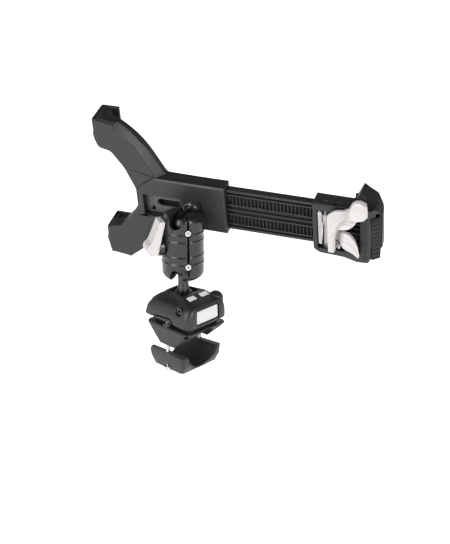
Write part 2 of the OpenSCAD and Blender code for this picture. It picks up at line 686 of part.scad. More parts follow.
// The hook of one arm: a side wall that goes forward and a lip over the tablet
module hook(z0, z1) {
    x = -fork_reach;
    x1 = x + hook_wall + hook_pad_t + 5;
    translate([0, 0, z0]) plate([[x - hook_out, fork_back + 3, 0], [x + hook_wall, fork_back + 3, 0],
        [x + hook_wall, lip_y, 0], [x1, lip_y, 0.8], [x1, hook_front, 1.2],
        [x - hook_out, hook_front, 2.4]], z1 - z0);
}
module holder_body() color(black) {
    t = sleeve_top;
    b = sleeve_low;
    s = sleeve_reach;
    holder_place() difference() {
        union() {
            difference() {
                wall(fork_points(), fork_back, fork_t);
                // Wide bevels down the outer edge of the upper arm, narrow ones elsewhere
                bevel(fork_bend, fork_knee, fork_back, 5, 6);
                bevel(fork_tip, fork_bend, fork_back, 5, 6);
                bevel([-fork_reach + 2.5, 75], fork_tip, fork_back, 2.2, 3);
                bevel([-33, b], [-43.5, -46], fork_back, 1.4, 2);
                bevel([-fork_reach + 16.5, -59], [-fork_reach + 1.2, -57], fork_back, 1.4, 2);
            }
            // The sleeve stands proud round the slide pocket
            difference() {
                wall([[sleeve_left, b + 9, 6], [sleeve_left + 2.5, t - 9, 8], [-28, t + proud, 6],
                    [s + proud, t + proud, 1], [s + proud, b - proud, 1], [-26, b - proud, 6]],
                    sleeve_back, sleeve_front - sleeve_back - 1);
                bevel([-28, t + proud], [s + 9, t + proud], sleeve_back, 1.6, 1.2);
                bevel([s + 9, b - proud], [-26, b - proud], sleeve_back, 1.6, 1.2);
                bevel([s + proud, t + 9], [s + proud, b - 9], sleeve_back, 1, 1);
                bevel([sleeve_left, b + 9], [sleeve_left + 2.5, t - 9], sleeve_back, 1.4, 1.4);
                bevel([sleeve_left + 2.5, t - 9], [-28, t + proud], sleeve_back, 1.6, 1.2);
                bevel([-26, b - proud], [sleeve_left, b + 9], sleeve_back, 1.6, 1.2);
            }
            hook(upper_hook_z[0], upper_hook_z[1]);
            hook(lower_hook_z[0], lower_hook_z[1]);
        }
        // Slide pocket and the cavity of the slide nut behind the slotted plate
        box(pocket_x0, pocket_x1, sleeve_back - 1, slot_plate_t, -pocket_h / 2, pocket_h / 2);
        box(slot_x0, pocket_x1, 0, slot_plate_t + 3.4, -6.6, 6.6);
        // Passage of the rack bar
        box(bar_x0, s + 1, bar_y - 0.05, bar_y + bar_t + 0.05,
            bar_mid - bar_h / 2 - 0.05, bar_mid + bar_h / 2 + 0.05);
        for (z = [-bar_screw_dz, bar_screw_dz]) translate([bar_screw_x, 0, bar_mid + z]) {
            rod_y(0, sleeve_front + 1, 1.5);
            rod_y(sleeve_front - 1.2, sleeve_front + 1, 2.8);
        }
        for (z = plate_screw_z) translate([plate_screw_x, 0, z]) rod_y(0, slot_plate_t + 2, 0.85);
    }
}
module hook_pad(ends) {
    x = -fork_reach + hook_wall;
    translate([0, 0, ends[0] + hook_pad_in]) plate([[x, tablet_back - 0.5, 0],
        [x + hook_pad_t, tablet_back - 0.5, 1],
        [x + hook_pad_t - 1.2, (tablet_back + lip_y) / 2, 3], [x + hook_pad_t, lip_y, 1],
        [x, lip_y, 0]], ends[1] - ends[0] - 2 * hook_pad_in);
}
module upper_hook_pad() color(rubber) holder_place() hook_pad(upper_hook_z);
module lower_hook_pad() color(rubber) holder_place() hook_pad(lower_hook_z);
module slot_plate() color("#6d7074") {
    holder_place() difference() {
        box(pocket_x0, pocket_x1, 0, slot_plate_t, -pocket_h / 2, pocket_h / 2);
        wall([[slot_x0, -slot_w / 2, slot_w / 2 - eps], [slot_w / 2 + 1, -slot_w / 2, 0],
            [slot_w / 2 + 1, slot_w / 2, 0], [slot_x0, slot_w / 2, slot_w / 2 - eps]], -1, slot_plate_t + 2);
        for (z = plate_screw_z) translate([plate_screw_x, 0, z]) rod_y(-1, slot_plate_t + 1, 0.85);
    }
}
module slot_plate_screws() color(steel) {
    holder_place() for (z = plate_screw_z) translate([plate_screw_x, 0, z]) {
        rod_y(-0.7, 0, 1.5);
        rod_y(-eps, slot_plate_t + 1.5, 0.85);
    }
}

// The rack bar

module rack_row(z0) {
    floor_y = bar_y + bar_floor;
    translate([0, 0, z0]) linear_extrude(row_h) polygon(concat([[rack_x0, floor_y + 0.5]],
        [for (i = [0:rack_n - 1]) let (x = rack_x0 + i * tooth_pitch)
            each [[x, floor_y], [x + tooth_pitch * 0.62, tooth_top], [x + tooth_pitch * 0.8, tooth_top]]],
        [[rack_x0 + rack_n * tooth_pitch, floor_y], [rack_x0 + rack_n * tooth_pitch, floor_y + 0.5]]));
}
module rack_bar() color(black) {
    floor_y = bar_y + bar_floor;
    holder_place() difference() {
        union() {
            translate([0, 0, bar_mid]) {
                box(bar_x0, bar_end, floor_y, bar_y + bar_t, -bar_h / 2, bar_h / 2);
                for (s = [0, 1]) mirror([0, 0, s]) {
                    box(bar_x0, bar_end, bar_y, floor_y + eps, bar_h / 2 - 2.2, bar_h / 2);
                    box(bar_x0, bar_end, bar_y, floor_y + eps, row_high, row_high + rib_w);
                    box(bar_x0, bar_end, bar_y, floor_y + eps, row_low - rib_w, row_low);
                }
                box(bar_x0, bar_end, bar_y, floor_y + eps, -rib_w / 2, rib_w / 2);
            }
            rack_row(row_z);
            rack_row(row2_z);
        }
        for (z = [-bar_screw_dz, bar_screw_dz]) translate([bar_screw_x, 0, bar_mid + z]) rod_y(0, 20, 1.5);
    }
}
module bar_screws() color(steel) {
    holder_place() for (s = [-1, 1]) translate([bar_screw_x, 0, bar_mid + s * bar_screw_dz]) difference() {
        union() {
            rod_y(bar_y + bar_t - 3, sleeve_front - 1, 1.5);
            rod_y(sleeve_front - 1.2, sleeve_front, 2.6);
        }
        hex_y(sleeve_front - 0.7, sleeve_front + 1, 1.2);
    }
}

// The carriage with its jaw, levers and pawls

module on_pins() {
    translate([pawl_pin_x, pawl_pin_y, 0]) children();
    translate([lever_pin_x, lever_pin_y, 0]) children();
}
module jaw_carriage() color(black) {
    x0 = carriage_x;
    x1 = car_x1;
    z0 = car_bottom;
    holder_place() difference() {
        union() {
            wall([[x0, z0 + 3, 3], [x0 + 5, z0, 4], [x0 + 24, z0 - 1, 8], [x0 + 34, z0 - 4, 6],
                [x1 - 2, z0 - 3.6, 3], [x1 + 1, z0 + 22, 40], [x1 - 1.5, car_top, 4], [x0, car_top, 1]],
                car_back, car_front - car_back);
            // Two raised lines down the right band
            for (x = [window_x1 + 1.4, window_x1 + 4]) wall([[x, z0 - 1, 0], [x + 1.1, z0 - 1, 0],
                [x + 1.7, z0 + 22, 30], [x + 0.7, car_top - 2, 0], [x - 0.4, car_top - 2, 0],
                [x + 0.6, z0 + 22, 30]], car_back - 0.7, 1.4, 4);
            // The jaw goes forward past the edge of the tablet and ends in a lip
            intersection() {
                translate([0, 0, z0 - 2]) plate([[jaw_face, car_front - 1, 0], [grip_x - 2, car_front - 1, 0],
                    [grip_x - 2, car_back, 0], [grip_x, car_back, 0.5],
                    [grip_x + grip_l * cos(grip_angle), car_back + grip_l * sin(grip_angle), 1],
                    [jaw_right, 6, 4], [jaw_right - 1, lip_y - 3, 5],
                    [jaw_right - 7, hook_front, 4], [jaw_face - 8, hook_front, 1.2],
                    [jaw_face - 8, lip_y, 0.8], [jaw_face, lip_y, 0]], 60);
                wall([[jaw_face - 9, z0 + 1, 2], [x1 - 8, z0 - 2, 6], [jaw_right + 1, z0 + 3, 6],
                    [jaw_right + 1, car_top - 4, 8], [x1 - 3, jaw_top - 2, 6], [jaw_face + 5, jaw_top, 3],
                    [jaw_face - 9, jaw_top, 2]], car_back, 40);
            }
        }
        // Window for the levers, open to the back
        box(window_x0, window_x1, car_back - 1, bar_y + 1, window_z0, window_z1);
        // Tunnel of the rack bar
        box(x0 - 1, jaw_right + 1, bar_y - clear, bar_y + bar_t + clear, bar_mid - bar_h / 2 - clear,
            bar_mid + bar_h / 2 + clear);
        on_pins() {
            rod_z(car_bottom + 2, car_top + 1, pin_r);
            rod_z(car_top - pin_sink, car_top + 1, pin_r + 0.9);
        }
        // The ear of the jaw falls away on both sides of its peak
        box(jaw_face - 10, jaw_right + 2, car_back - 1, car_front, car_top, jaw_top + 1);
        wall([[jaw_face - 10, 9, 0], [jaw_face - 6.5, 13, 0], [jaw_face + 3.5, jaw_top - 2.5, 0],
            [jaw_face + 9, car_top, 0], [car_x1 - 1, car_top - 3.5, 0], [car_x1 + 3.5, car_top - 9.5, 0],
            [jaw_right + 2, 13, 0], [jaw_right + 2, jaw_top + 1, 0], [jaw_face - 10, jaw_top + 1, 0]],
            car_front, 40);
        // Seat of the grip pad on the slanted corner
        translate([grip_x, car_back, 0]) rotate([0, 0, grip_angle])
            box(0.5, grip_l - 0.5, -4, 0.8, grip_z0, grip_z1);
    }
}
module jaw_pad() color(rubber) {
    mid = (tablet_back + lip_y) / 2;
    holder_place() translate([0, 0, car_bottom + 3]) plate([[jaw_face - 3, tablet_back - 1, 1],
        [jaw_face, tablet_back - 1, 0], [jaw_face, lip_y, 0], [jaw_face - 3, lip_y, 1],
        [jaw_face - 2, mid, 3]], jaw_top - car_bottom - 14.5);
}
module grip_pad() color(rubber) {
    h = grip_z1 - grip_z0 - 0.4;
    n = floor(h / 3.6);
    holder_place() translate([grip_x, car_back, grip_z0 + 0.2]) rotate([0, 0, grip_angle]) difference() {
        box(0.7, grip_l - 0.7, -1.2, 0.8, 0, h);
        for (i = [0:n - 1]) box(-1, grip_l + 1, -1.4, -0.6, (i + 0.35) * h / n, (i + 0.65) * h / n);
    }
}
module lever_pins() color(steel) {
    holder_place() on_pins() {
        rod_z(car_bottom + 2, car_top - pin_sink + eps, pin_r);
        rod_z(car_top - pin_sink, car_top - 1, pin_r + 0.6);
    }
}
module holding_pawl() color(pale) {
    z0 = row2_z + 0.5;
    z1 = row_z + row_h;
    holder_place() translate([pawl_pin_x, pawl_pin_y, 0]) difference() {
        union() {
            rod_z(z0, z1, hub_r);
            // Back plate, and the finger that the release lever presses
            wall([[-5.3, z0 - 1, 1], [-0.6, z0 - 1, 1], [-0.4, z1 - 8, 1], [-2.4, z1 - 6, 1],
                [-2.6, z1 + 3, 1], [-5.6, z1 + 3.6, 1]], -3.7, 2);
            box(-4, -0.5, -2.2, 0.5, z0, z1);
            box(0, 4.6, -0.8, 1.2, release_z0 + 1.6, release_z1 - 1.6);
            // One blade over each row of teeth
            for (z = [row_z + 0.6, row2_z + 0.6]) translate([0, 0, z]) plate([[-4, -1, 0], [-0.4, 0, 0],
                [-1.4, tooth_top - clear - pawl_pin_y, 0.3],
                [-2.6, tooth_top - clear - pawl_pin_y, 0.3]], row_h - 1.2);
        }
        rod_z(-40, 40, pin_r + bore_clear);
    }
}
module pawl_springs() color(steel) {
    holder_place() translate([pawl_pin_x, pawl_pin_y, 0])
        for (z = [row_z + row_h + 0.6, window_z0 + 0.6]) translate([0, 0, z])
            coil(pin_r + 0.7, 0.6, 1.05, 2.5);
}
module drive_lever() color(pale) {
    z0 = low_hub;
    z1 = top_hub + 4.5;
    w = thumb_w;
    holder_place() translate([lever_pin_x, lever_pin_y, 0]) difference() {
        union() {
            rod_z(top_hub, z1, hub_r);
            rod_z(z0 - 3, z0, hub_r);
            // Cheeks that carry the leg behind the window
            for (z = [[z0 - 3, z0], [top_hub, z1]]) translate([0, 0, z[0]])
                plate([[-5.4, -11, 1], [-1, -11, 0.5], [hub_r, 0, 0], [-2.4, 0, 0], [-5.4, -6, 0]],
                    z[1] - z[0]);
            // Leg, arm and neck of the thumb plate
            wall([[-6, z0 - 1.4, 2.4], [-1, z0 - 1.4, 2.4], [-0.6, 7, 8], [3, 15, 8], [9, 22, 6], [17, 24, 6],
                [24, 26, 4], [23, 34, 4], [14, 41, 4], [11, 36, 3], [9, 33.6, 3], [-1, 31, 6], [-6, 26, 5]],
                -11, 4, 4);
            // Thumb plate, further back and dished towards its end
            loft([for (k = [[-16.6, 1.6, 1], [-15.6, 0.2, 1], [-13.4, 0, 0.6], [-10.4, 1, 0]])
                let (g = k[1], e = 1.4 * k[2])
                at_y(outline([[13.5 + g, 44.4 - g + e, 3.4], [14 + w - g, 43.4 - g + e, 3.4],
                    [14 + w - g, 30 + g + e, 3.4], [16 + g, 26 + g + 2 * e, 3.4]], 4), k[0])]);
        }
        rod_z(-40, 60, pin_r + bore_clear);
    }
}
module drive_pawl() color(steel) {
    holder_place() translate([lever_pin_x + pawl_ax, lever_pin_y + pawl_ay, row_z + 0.4]) difference() {
        union() {
            cylinder(h = row_h - 1, r = 2);
            plate([[-1, -0.6, 0], [1.2, 0, 0], [-1.4, 2.5, 0.3], [-2.6, 2.2, 0.3]], row_h - 1);
        }
        rod_z(-1, row_h, 1 + bore_clear);
    }
}
module drive_pawl_pin() color(steel) {
    holder_place() translate([lever_pin_x + pawl_ax, lever_pin_y + pawl_ay, 0])
        rod_z(row_z - 0.6, top_hub, 1);
}
module lever_spring() color(steel) {
    holder_place() translate([lever_pin_x, lever_pin_y, release_z1 + 0.6]) coil(pin_r + 0.7, 0.6, 1.05, 2);
}
module release_lever() color(pale) {
    z0 = release_z0;
    z1 = release_z1;
    holder_place() translate([lever_pin_x, lever_pin_y, 0]) difference() {
        union() {
            rod_z(z0, z1, hub_r);
            // Web out to the horn, and the finger over the tail of the holding pawl
            translate([0, 0, z0]) plate([[0, -2.6, 0], [4.6, -10, 0], [8.6, -10, 0], [hub_r, 0, 0],
                [0, 0, 0]], z1 - z0);
            translate([0, 0, z0 + 1.6]) plate([[-6.6, -2.6, 0.5], [0, -3, 0], [0, 0, 0], [-6.6, -0.8, 0.5]],
                z1 - z0 - 3.2);
            wall([[4.6, z0, 0], [4.6, 11, 2], [11, 11.6, 5], [16.4, 4.2, 12], [19.2, -13.8, 1],
                [15.8, -10, 2], [10.5, -5.6, 6]], -10.5, 4, 4);
        }
        rod_z(-40, 60, pin_r + bore_clear);
    }
}
module release_spring() color(steel) {
    holder_place() translate([lever_pin_x, lever_pin_y, low_hub + 0.7]) coil(pin_r + 0.7, 0.6, 1.05, 2);
}

base_housing();
release_button();
latch_slider();
button_spring();
housing_screws();
roof_marks();
upper_jaw();
upper_pad();
lower_jaw();
lower_pad();
clamp_screws();
clamp_nuts();
lower_stud();
arm_shell_left();
arm_shell_right();
arm_dowels();
tension_bolt();
shell_spring();
cam_washer();
cam_pin();
cam_lever();
upper_stud();
stud_plate();
collar_ring();
slide_nut();
holder_body();
slot_plate();
slot_plate_screws();
upper_hook_pad();
lower_hook_pad();
rack_bar();
bar_screws();
jaw_carriage();
jaw_pad();
grip_pad();
lever_pins();
holding_pawl();
pawl_springs();
drive_lever();
drive_pawl();
drive_pawl_pin();
lever_spring();
release_lever();
release_spring();
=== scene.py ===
"""Looks of the rail tablet mount: rail clamp, ball arm, tablet holder and ratchet carriage."""

from __future__ import annotations

import json
import logging
import math
from collections.abc import Callable
from dataclasses import dataclass, field
from enum import Enum

import bmesh
import bpy
from mathutils import Matrix, Vector

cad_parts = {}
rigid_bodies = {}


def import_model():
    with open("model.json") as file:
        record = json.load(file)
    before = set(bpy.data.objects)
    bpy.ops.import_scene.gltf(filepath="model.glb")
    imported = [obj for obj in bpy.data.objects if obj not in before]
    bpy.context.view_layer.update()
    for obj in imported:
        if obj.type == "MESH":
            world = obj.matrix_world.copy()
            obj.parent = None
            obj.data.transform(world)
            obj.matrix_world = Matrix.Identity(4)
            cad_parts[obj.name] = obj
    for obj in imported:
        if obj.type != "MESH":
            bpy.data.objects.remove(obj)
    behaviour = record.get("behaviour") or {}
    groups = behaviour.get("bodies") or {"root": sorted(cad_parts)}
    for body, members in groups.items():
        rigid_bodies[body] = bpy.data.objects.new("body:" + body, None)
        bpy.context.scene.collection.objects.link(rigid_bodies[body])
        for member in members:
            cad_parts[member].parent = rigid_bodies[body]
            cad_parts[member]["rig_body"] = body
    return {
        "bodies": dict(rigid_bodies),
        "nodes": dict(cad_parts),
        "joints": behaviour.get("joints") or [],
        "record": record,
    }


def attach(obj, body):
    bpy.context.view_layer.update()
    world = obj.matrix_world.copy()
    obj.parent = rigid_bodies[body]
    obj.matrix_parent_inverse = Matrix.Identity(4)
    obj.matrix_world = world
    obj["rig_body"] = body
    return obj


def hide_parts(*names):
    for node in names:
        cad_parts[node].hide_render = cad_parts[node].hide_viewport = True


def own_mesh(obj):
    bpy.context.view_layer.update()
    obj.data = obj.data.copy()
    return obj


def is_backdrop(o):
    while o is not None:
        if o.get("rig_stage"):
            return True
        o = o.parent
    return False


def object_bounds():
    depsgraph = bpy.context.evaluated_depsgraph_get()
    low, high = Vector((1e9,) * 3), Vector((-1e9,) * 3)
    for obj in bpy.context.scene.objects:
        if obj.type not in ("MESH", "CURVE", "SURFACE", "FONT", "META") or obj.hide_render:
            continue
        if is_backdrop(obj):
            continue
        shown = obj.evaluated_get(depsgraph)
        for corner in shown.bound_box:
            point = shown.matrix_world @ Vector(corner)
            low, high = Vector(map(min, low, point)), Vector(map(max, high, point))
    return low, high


LOG = logging.getLogger("mount")
MM = 0.001
Colour = tuple[float, float, float]
Point = tuple[float, float, float]
Outline = tuple[tuple[float, float], ...]
Rings = tuple[tuple[float, Outline], ...]
Socket = bpy.types.NodeSocket
Node = bpy.types.Node
Tree = bpy.types.NodeTree
Material = bpy.types.Material
Mesh = bpy.types.Mesh
Piece = bpy.types.Object
Form = bmesh.types.BMesh
Feeds = dict[str | int, Socket | float | tuple[float, ...]]


class Slot(Enum):
    """The finishes that the record names."""

    BLACK = "black_body"
    PALE = "pale_lever"
    RUBBER = "rubber_pad"
    ARM = "arm_paint"
    STUD = "stud_metal"
    STEEL = "bright_steel"
    WIRE = "spring_wire"
    PLATE = "grey_plate"


class MixSocket(Enum):
    """Places of a Mix node's colour sockets, which share their names with those of other types."""

    SHARE = 0
    A = 6
    B = 7
    RESULT = 2


# Nodes


def feed(tree: Tree, node: Node, feeds: Feeds) -> None:
    """Sets inputs of a node, or links them where a socket is given.

    Args:
        tree: The node's tree.
        node: The node.
        feeds: For each input, its value or the socket that feeds it.
    """
    for key, value in feeds.items():
        if isinstance(value, Socket):
            tree.links.new(value, node.inputs[key])
        else:
            node.inputs[key].default_value = value


def add_node(tree: Tree, kind: str, feeds: Feeds | None = None,
             **settings: str | int | Tree) -> Node:
    """Adds a node to a tree.

    Args:
        tree: The tree.
        kind: The node's type.
        feeds: For each input, its value or the socket that feeds it.
        settings: The node's own settings, by name.

    Returns:
        The new node.
    """
    node = tree.nodes.new(kind)
    for name, value in settings.items():
        setattr(node, name, value)
    feed(tree, node, feeds or {})
    return node


def compute(tree: Tree, operation: str, a: Socket | float, b: Socket) -> Socket:
    """Adds a node that works one value out of two."""
    return add_node(tree, "ShaderNodeMath", {0: a, 1: b}, operation=operation).outputs[0]


def remap(tree: Tree, value: Socket, start: float, stop: float,
          low: Socket | float = 0.0, high: Socket | float = 1.0) -> Socket:
    """Adds a node that carries start to low and stop to high.

    Args:
        tree: The tree.
        value: The varying value.
        start: Value that gives low.
        stop: Value that gives high.
        low: Result at start.
        high: Result at stop.

    Returns:
        The mapped value.
    """
    feeds = {"Value": value, "From Min": start, "From Max": stop, "To Min": low, "To Max": high}
    return add_node(tree, "ShaderNodeMapRange", feeds).outputs["Result"]


def seen_directly(tree: Tree, other: str) -> Socket:
    """Adds nodes that give 1 on the camera's rays and on one other kind of ray, and else 0."""
    path = add_node(tree, "ShaderNodeLightPath").outputs
    return compute(tree, "MAXIMUM", path["Is Camera Ray"], path[other])


# Shader groups


class ShaderTools:
    """Effects that several finishes share, each built once as a node group."""

    def __init__(self) -> None:
        """Builds the groups."""
        self.grain = self._grain()
        self.edges = self._edges()
        self.lathe = self._lathe()
        self.painted_corner_shade = self._painted_corner_shade()

    @staticmethod
    def _group(name: str, inputs: dict[str, float]) -> tuple[Tree, dict[str, Socket]]:
        """Starts a group with float inputs.

        Args:
            name: The group's name.
            inputs: Input names with their defaults.

        Returns:
            The new node tree, and its inputs as sockets to link from.
        """
        tree = bpy.data.node_groups.new(name, "ShaderNodeTree")
        for key, value in inputs.items():
            socket = tree.interface.new_socket(key, in_out="INPUT", socket_type="NodeSocketFloat")
            socket.default_value = value
        given = tree.nodes.new("NodeGroupInput").outputs
        return tree, {key: given[key] for key in inputs}

    @staticmethod
    def _close(tree: Tree, **results: Socket) -> Tree:
        """Ends a group.

        Args:
            tree: The group.
            results: What it puts out, by name.

        Returns:
            The same group.
        """
        for key in results:
            tree.interface.new_socket(key, in_out="OUTPUT", socket_type="NodeSocketFloat")
        feed(tree, tree.nodes.new("NodeGroupOutput"), results)
        return tree

    def _grain(self) -> Tree:
        """Fine spark-eroded mould texture over slow patches of tone.

        Returns:
            A group with Height for bumps, and Tone for slow patches.
        """
        tree, given = self._group("mould_grain", {"Pitch": 0.0005, "Patch": 0.02})
        place = add_node(tree, "ShaderNodeTexCoord").outputs["Object"]
        fine = {"Vector": place, "Scale": compute(tree, "DIVIDE", 1, given["Pitch"])}
        slow = {"Vector": place, "Scale": compute(tree, "DIVIDE", 1, given["Patch"])}
        cells = add_node(tree, "ShaderNodeTexVoronoi", fine, feature="SMOOTH_F1")
        specks = add_node(tree, "ShaderNodeTexNoise", {**fine, "Detail": 3})
        tone = add_node(tree, "ShaderNodeTexNoise", {**slow, "Detail": 4, "Roughness": 0.6})
        height = compute(tree, "ADD", cells.outputs["Distance"], specks.outputs["Fac"])
        return self._close(tree, Height=height, Tone=tone.outputs["Fac"])

    def _edges(self) -> Tree:
        """Outer edges that handling has polished, which also carry a painted highlight.

        Returns:
            A group whose Edge is 1 on a polished, highlit edge and 0 on a flat face.
        """
        tree, given = self._group("scuffed_highlit_edges", {"Reach": 0.0006, "Break": 0.006})
        true = add_node(tree, "ShaderNodeNewGeometry").outputs["Normal"]
        soft = add_node(tree, "ShaderNodeBevel", {"Radius": given["Reach"]}, samples=4)
        same = add_node(tree, "ShaderNodeVectorMath", {0: true, 1: soft.outputs["Normal"]},
                        operation="DOT_PRODUCT")
        bend = remap(tree, same.outputs["Value"], start=0.995, stop=0.9)
        place = add_node(tree, "ShaderNodeTexCoord").outputs["Object"]
        rate = compute(tree, "DIVIDE", 1, given["Break"])
        broken = add_node(tree, "ShaderNodeTexNoise", {"Vector": place, "Scale": rate, "Detail": 5})
        share = remap(tree, broken.outputs["Fac"], start=0.42, stop=0.62)
        return self._close(tree, Edge=compute(tree, "MULTIPLY", bend, share))

    def _lathe(self) -> Tree:
        """Fine tool marks and small scratches on machined metal.

        Returns:
            A group with Height for bumps and Scratch for roughness.
        """
        tree, given = self._group("tool_marks", {"Pitch": 0.0002, "Stretch": 12.0})
        place = add_node(tree, "ShaderNodeTexCoord").outputs["Object"]
        thin = add_node(tree, "ShaderNodeCombineXYZ", {"X": 1, "Y": 1, "Z": given["Stretch"]})
        drawn = add_node(tree, "ShaderNodeVectorMath", {0: place, 1: thin.outputs[0]},
                         operation="MULTIPLY")
        rate = compute(tree, "DIVIDE", 1, given["Pitch"])
        marks = {"Vector": drawn.outputs[0], "Scale": rate, "Detail": 2}
        height = add_node(tree, "ShaderNodeTexNoise", marks).outputs["Fac"]
        wide = add_node(tree, "ShaderNodeTexNoise", {"Vector": place, "Scale": 400, "Detail": 6})
        return self._close(tree, Height=height, Scratch=wide.outputs["Fac"])

    def _painted_corner_shade(self) -> Tree:
        """Painted shade: corners darkened by ambient occlusion, standing in for the shade that
        falls there.

        Returns:
            A group whose Corner is 1 where a corner's painted shade is deepest.
        """
        tree, given = self._group("painted_corner_shade_group", {"Depth": 0.004})
        near = add_node(tree, "ShaderNodeAmbientOcclusion", {"Distance": given["Depth"]},
                        samples=4, only_local=True)
        return self._close(tree, Corner=remap(tree, near.outputs["AO"], start=0.9, stop=0.35))


class Recipe:
    """A material under construction: a Principled shader and helpers that feed it."""

    def __init__(self, name: str) -> None:
        """Starts an empty material with its shader."""
        self.material = bpy.data.materials.new(name)
        self.material.use_nodes = True
        self.tree = self.material.node_tree
        self.shader = self.tree.nodes["Principled BSDF"]

    def group(self, tree: Tree, **values: float) -> dict[str, Socket]:
        """Places a shared group with its own values.

        Args:
            tree: The shared group.
            values: Its inputs, by name.

        Returns:
            The group's outputs, by name.
        """
        node = add_node(self.tree, "ShaderNodeGroup", values, node_tree=tree)
        return {socket.name: socket for socket in node.outputs}

    def spread(self, value: Socket, low: float, high: float) -> Socket:
        """Maps the middle of a noise's range onto low to high."""
        return remap(self.tree, value, start=0.3, stop=0.7, low=low, high=high)

    def scaled(self, mask: Socket, share: float) -> Socket:
        """Maps a mask from 0 to 1 onto 0 to share."""
        return remap(self.tree, mask, start=0, stop=1, low=0, high=share)

    def mix(self, share: Socket, a: Colour | Socket, b: Colour | Socket) -> Socket:
        """Mixes two colours by a varying share.

        Args:
            share: Share of b.
            a: First colour.
            b: Second colour.

        Returns:
            The mixed colour.
        """
        first, second = ((*end, 1) if isinstance(end, tuple) else end for end in (a, b))
        feeds = {MixSocket.SHARE.value: share, MixSocket.A.value: first, MixSocket.B.value: second}
        node = add_node(self.tree, "ShaderNodeMix", feeds, data_type="RGBA")
        return node.outputs[MixSocket.RESULT.value]

    def bump(self, height: Socket, depth: float, strength: float) -> Socket:
        """Turns a height into a normal.

        Args:
            height: The varying height.
            depth: Height of a full step in metres.
            strength: Share of the effect.

        Returns:
            The normal.
        """
        feeds = {"Height": height, "Distance": depth, "Strength": strength}
        return add_node(self.tree, "ShaderNodeBump", feeds).outputs[0]

    def finish(self, feeds: Feeds) -> Material:
        """Feeds the shader's inputs and gives the material."""
        feed(self.tree, self.shader, feeds)
        return self.material


@dataclass(frozen=True)
class MouldedFinish:
    """Injection-moulded plastic, powder coat or rubber. Grain, depth and patch are in metres."""

    name: str
    dark: Colour
    light: Colour
    # Tone of the scuffed edges: part wear, part painted highlight
    scuff_highlight_tone: Colour
    roughness: float
    grain: float
    depth: float
    # Share of the scuffed edge tone, part wear and part painted highlight; it also scales the
    # polish
    scuff_highlight_share: float = 0.5
    glow: float = 0.0
    strength: float = 0.5
    patch: float = 0.02
    corner_shade: float = 0.55
    corner_share: float = 0.6
    swing: float = 0.05
    polish: float = 0.12

    def material(self, tools: ShaderTools) -> Material:
        """Builds the material.

        Args:
            tools: The shared groups.

        Returns:
            The finished material.
        """
        recipe = Recipe(self.name)
        grain = recipe.group(tools.grain, Pitch=self.grain, Patch=self.patch)
        edge = recipe.group(tools.edges)["Edge"]
        corner = recipe.group(tools.painted_corner_shade)["Corner"]
        tone = recipe.mix(recipe.spread(grain["Tone"], 0, 1), self.dark, self.light)
        # Painted shade: in corners the tone darkens towards corner_shade times the dark tone
        deep = tuple(self.corner_shade * c for c in self.dark)
        tone = recipe.mix(recipe.scaled(corner, self.corner_share), tone, deep)
        # Scuffed edges, part real wear and part painted highlight: the tone lightens towards the
        # scuff tone
        tone_with_scuff_highlight = recipe.mix(recipe.scaled(edge, self.scuff_highlight_share), tone, self.scuff_highlight_tone)
        low, high = self.roughness - self.swing, self.roughness + self.swing
        rough = recipe.spread(grain["Tone"], low, high)
        polished = recipe.scaled(edge, -self.polish * self.scuff_highlight_share)
        return recipe.finish({
            "Base Color": tone_with_scuff_highlight,
            "Roughness": compute(recipe.tree, "ADD", rough, polished),
            "Normal": recipe.bump(grain["Height"], self.depth, self.strength),
            "Subsurface Weight": self.glow,
            "Subsurface Radius": (0.002, 0.0018, 0.0016)})


@dataclass(frozen=True)
class MetalFinish:
    """Turned, drawn or plated metal. Marks and depths are in metres."""

    name: str
    dark: Colour
    light: Colour
    roughness: float
    marks: float = 0.0002
    stretch: float = 12.0
    depth: float = 0.00002
    strength: float = 0.35
    corner_depth: float = 0.002
    corner_shade: float = 0.4
    corner_share: float = 0.8
    smoother: float = 0.06
    rougher: float = 0.08

    def material(self, tools: ShaderTools) -> Material:
        """Builds the material.

        Args:
            tools: The shared groups.

        Returns:
            The finished material.
        """
        recipe = Recipe(self.name)
        marks = recipe.group(tools.lathe, Pitch=self.marks, Stretch=self.stretch)
        corner = recipe.group(tools.painted_corner_shade, Depth=self.corner_depth)["Corner"]
        tone = recipe.mix(recipe.spread(marks["Scratch"], 0, 1), self.dark, self.light)
        # Painted shade: in corners the tone darkens towards corner_shade times the dark tone
        deep = tuple(self.corner_shade * c for c in self.dark)
        rough = recipe.spread(marks["Scratch"], self.roughness - self.smoother,
                              self.roughness + self.rougher)
        return recipe.finish({
            "Base Color": recipe.mix(recipe.scaled(corner, self.corner_share), tone, deep),
            "Roughness": rough,
            "Metallic": 1,
            "Normal": recipe.bump(marks["Height"], self.depth, self.strength)})


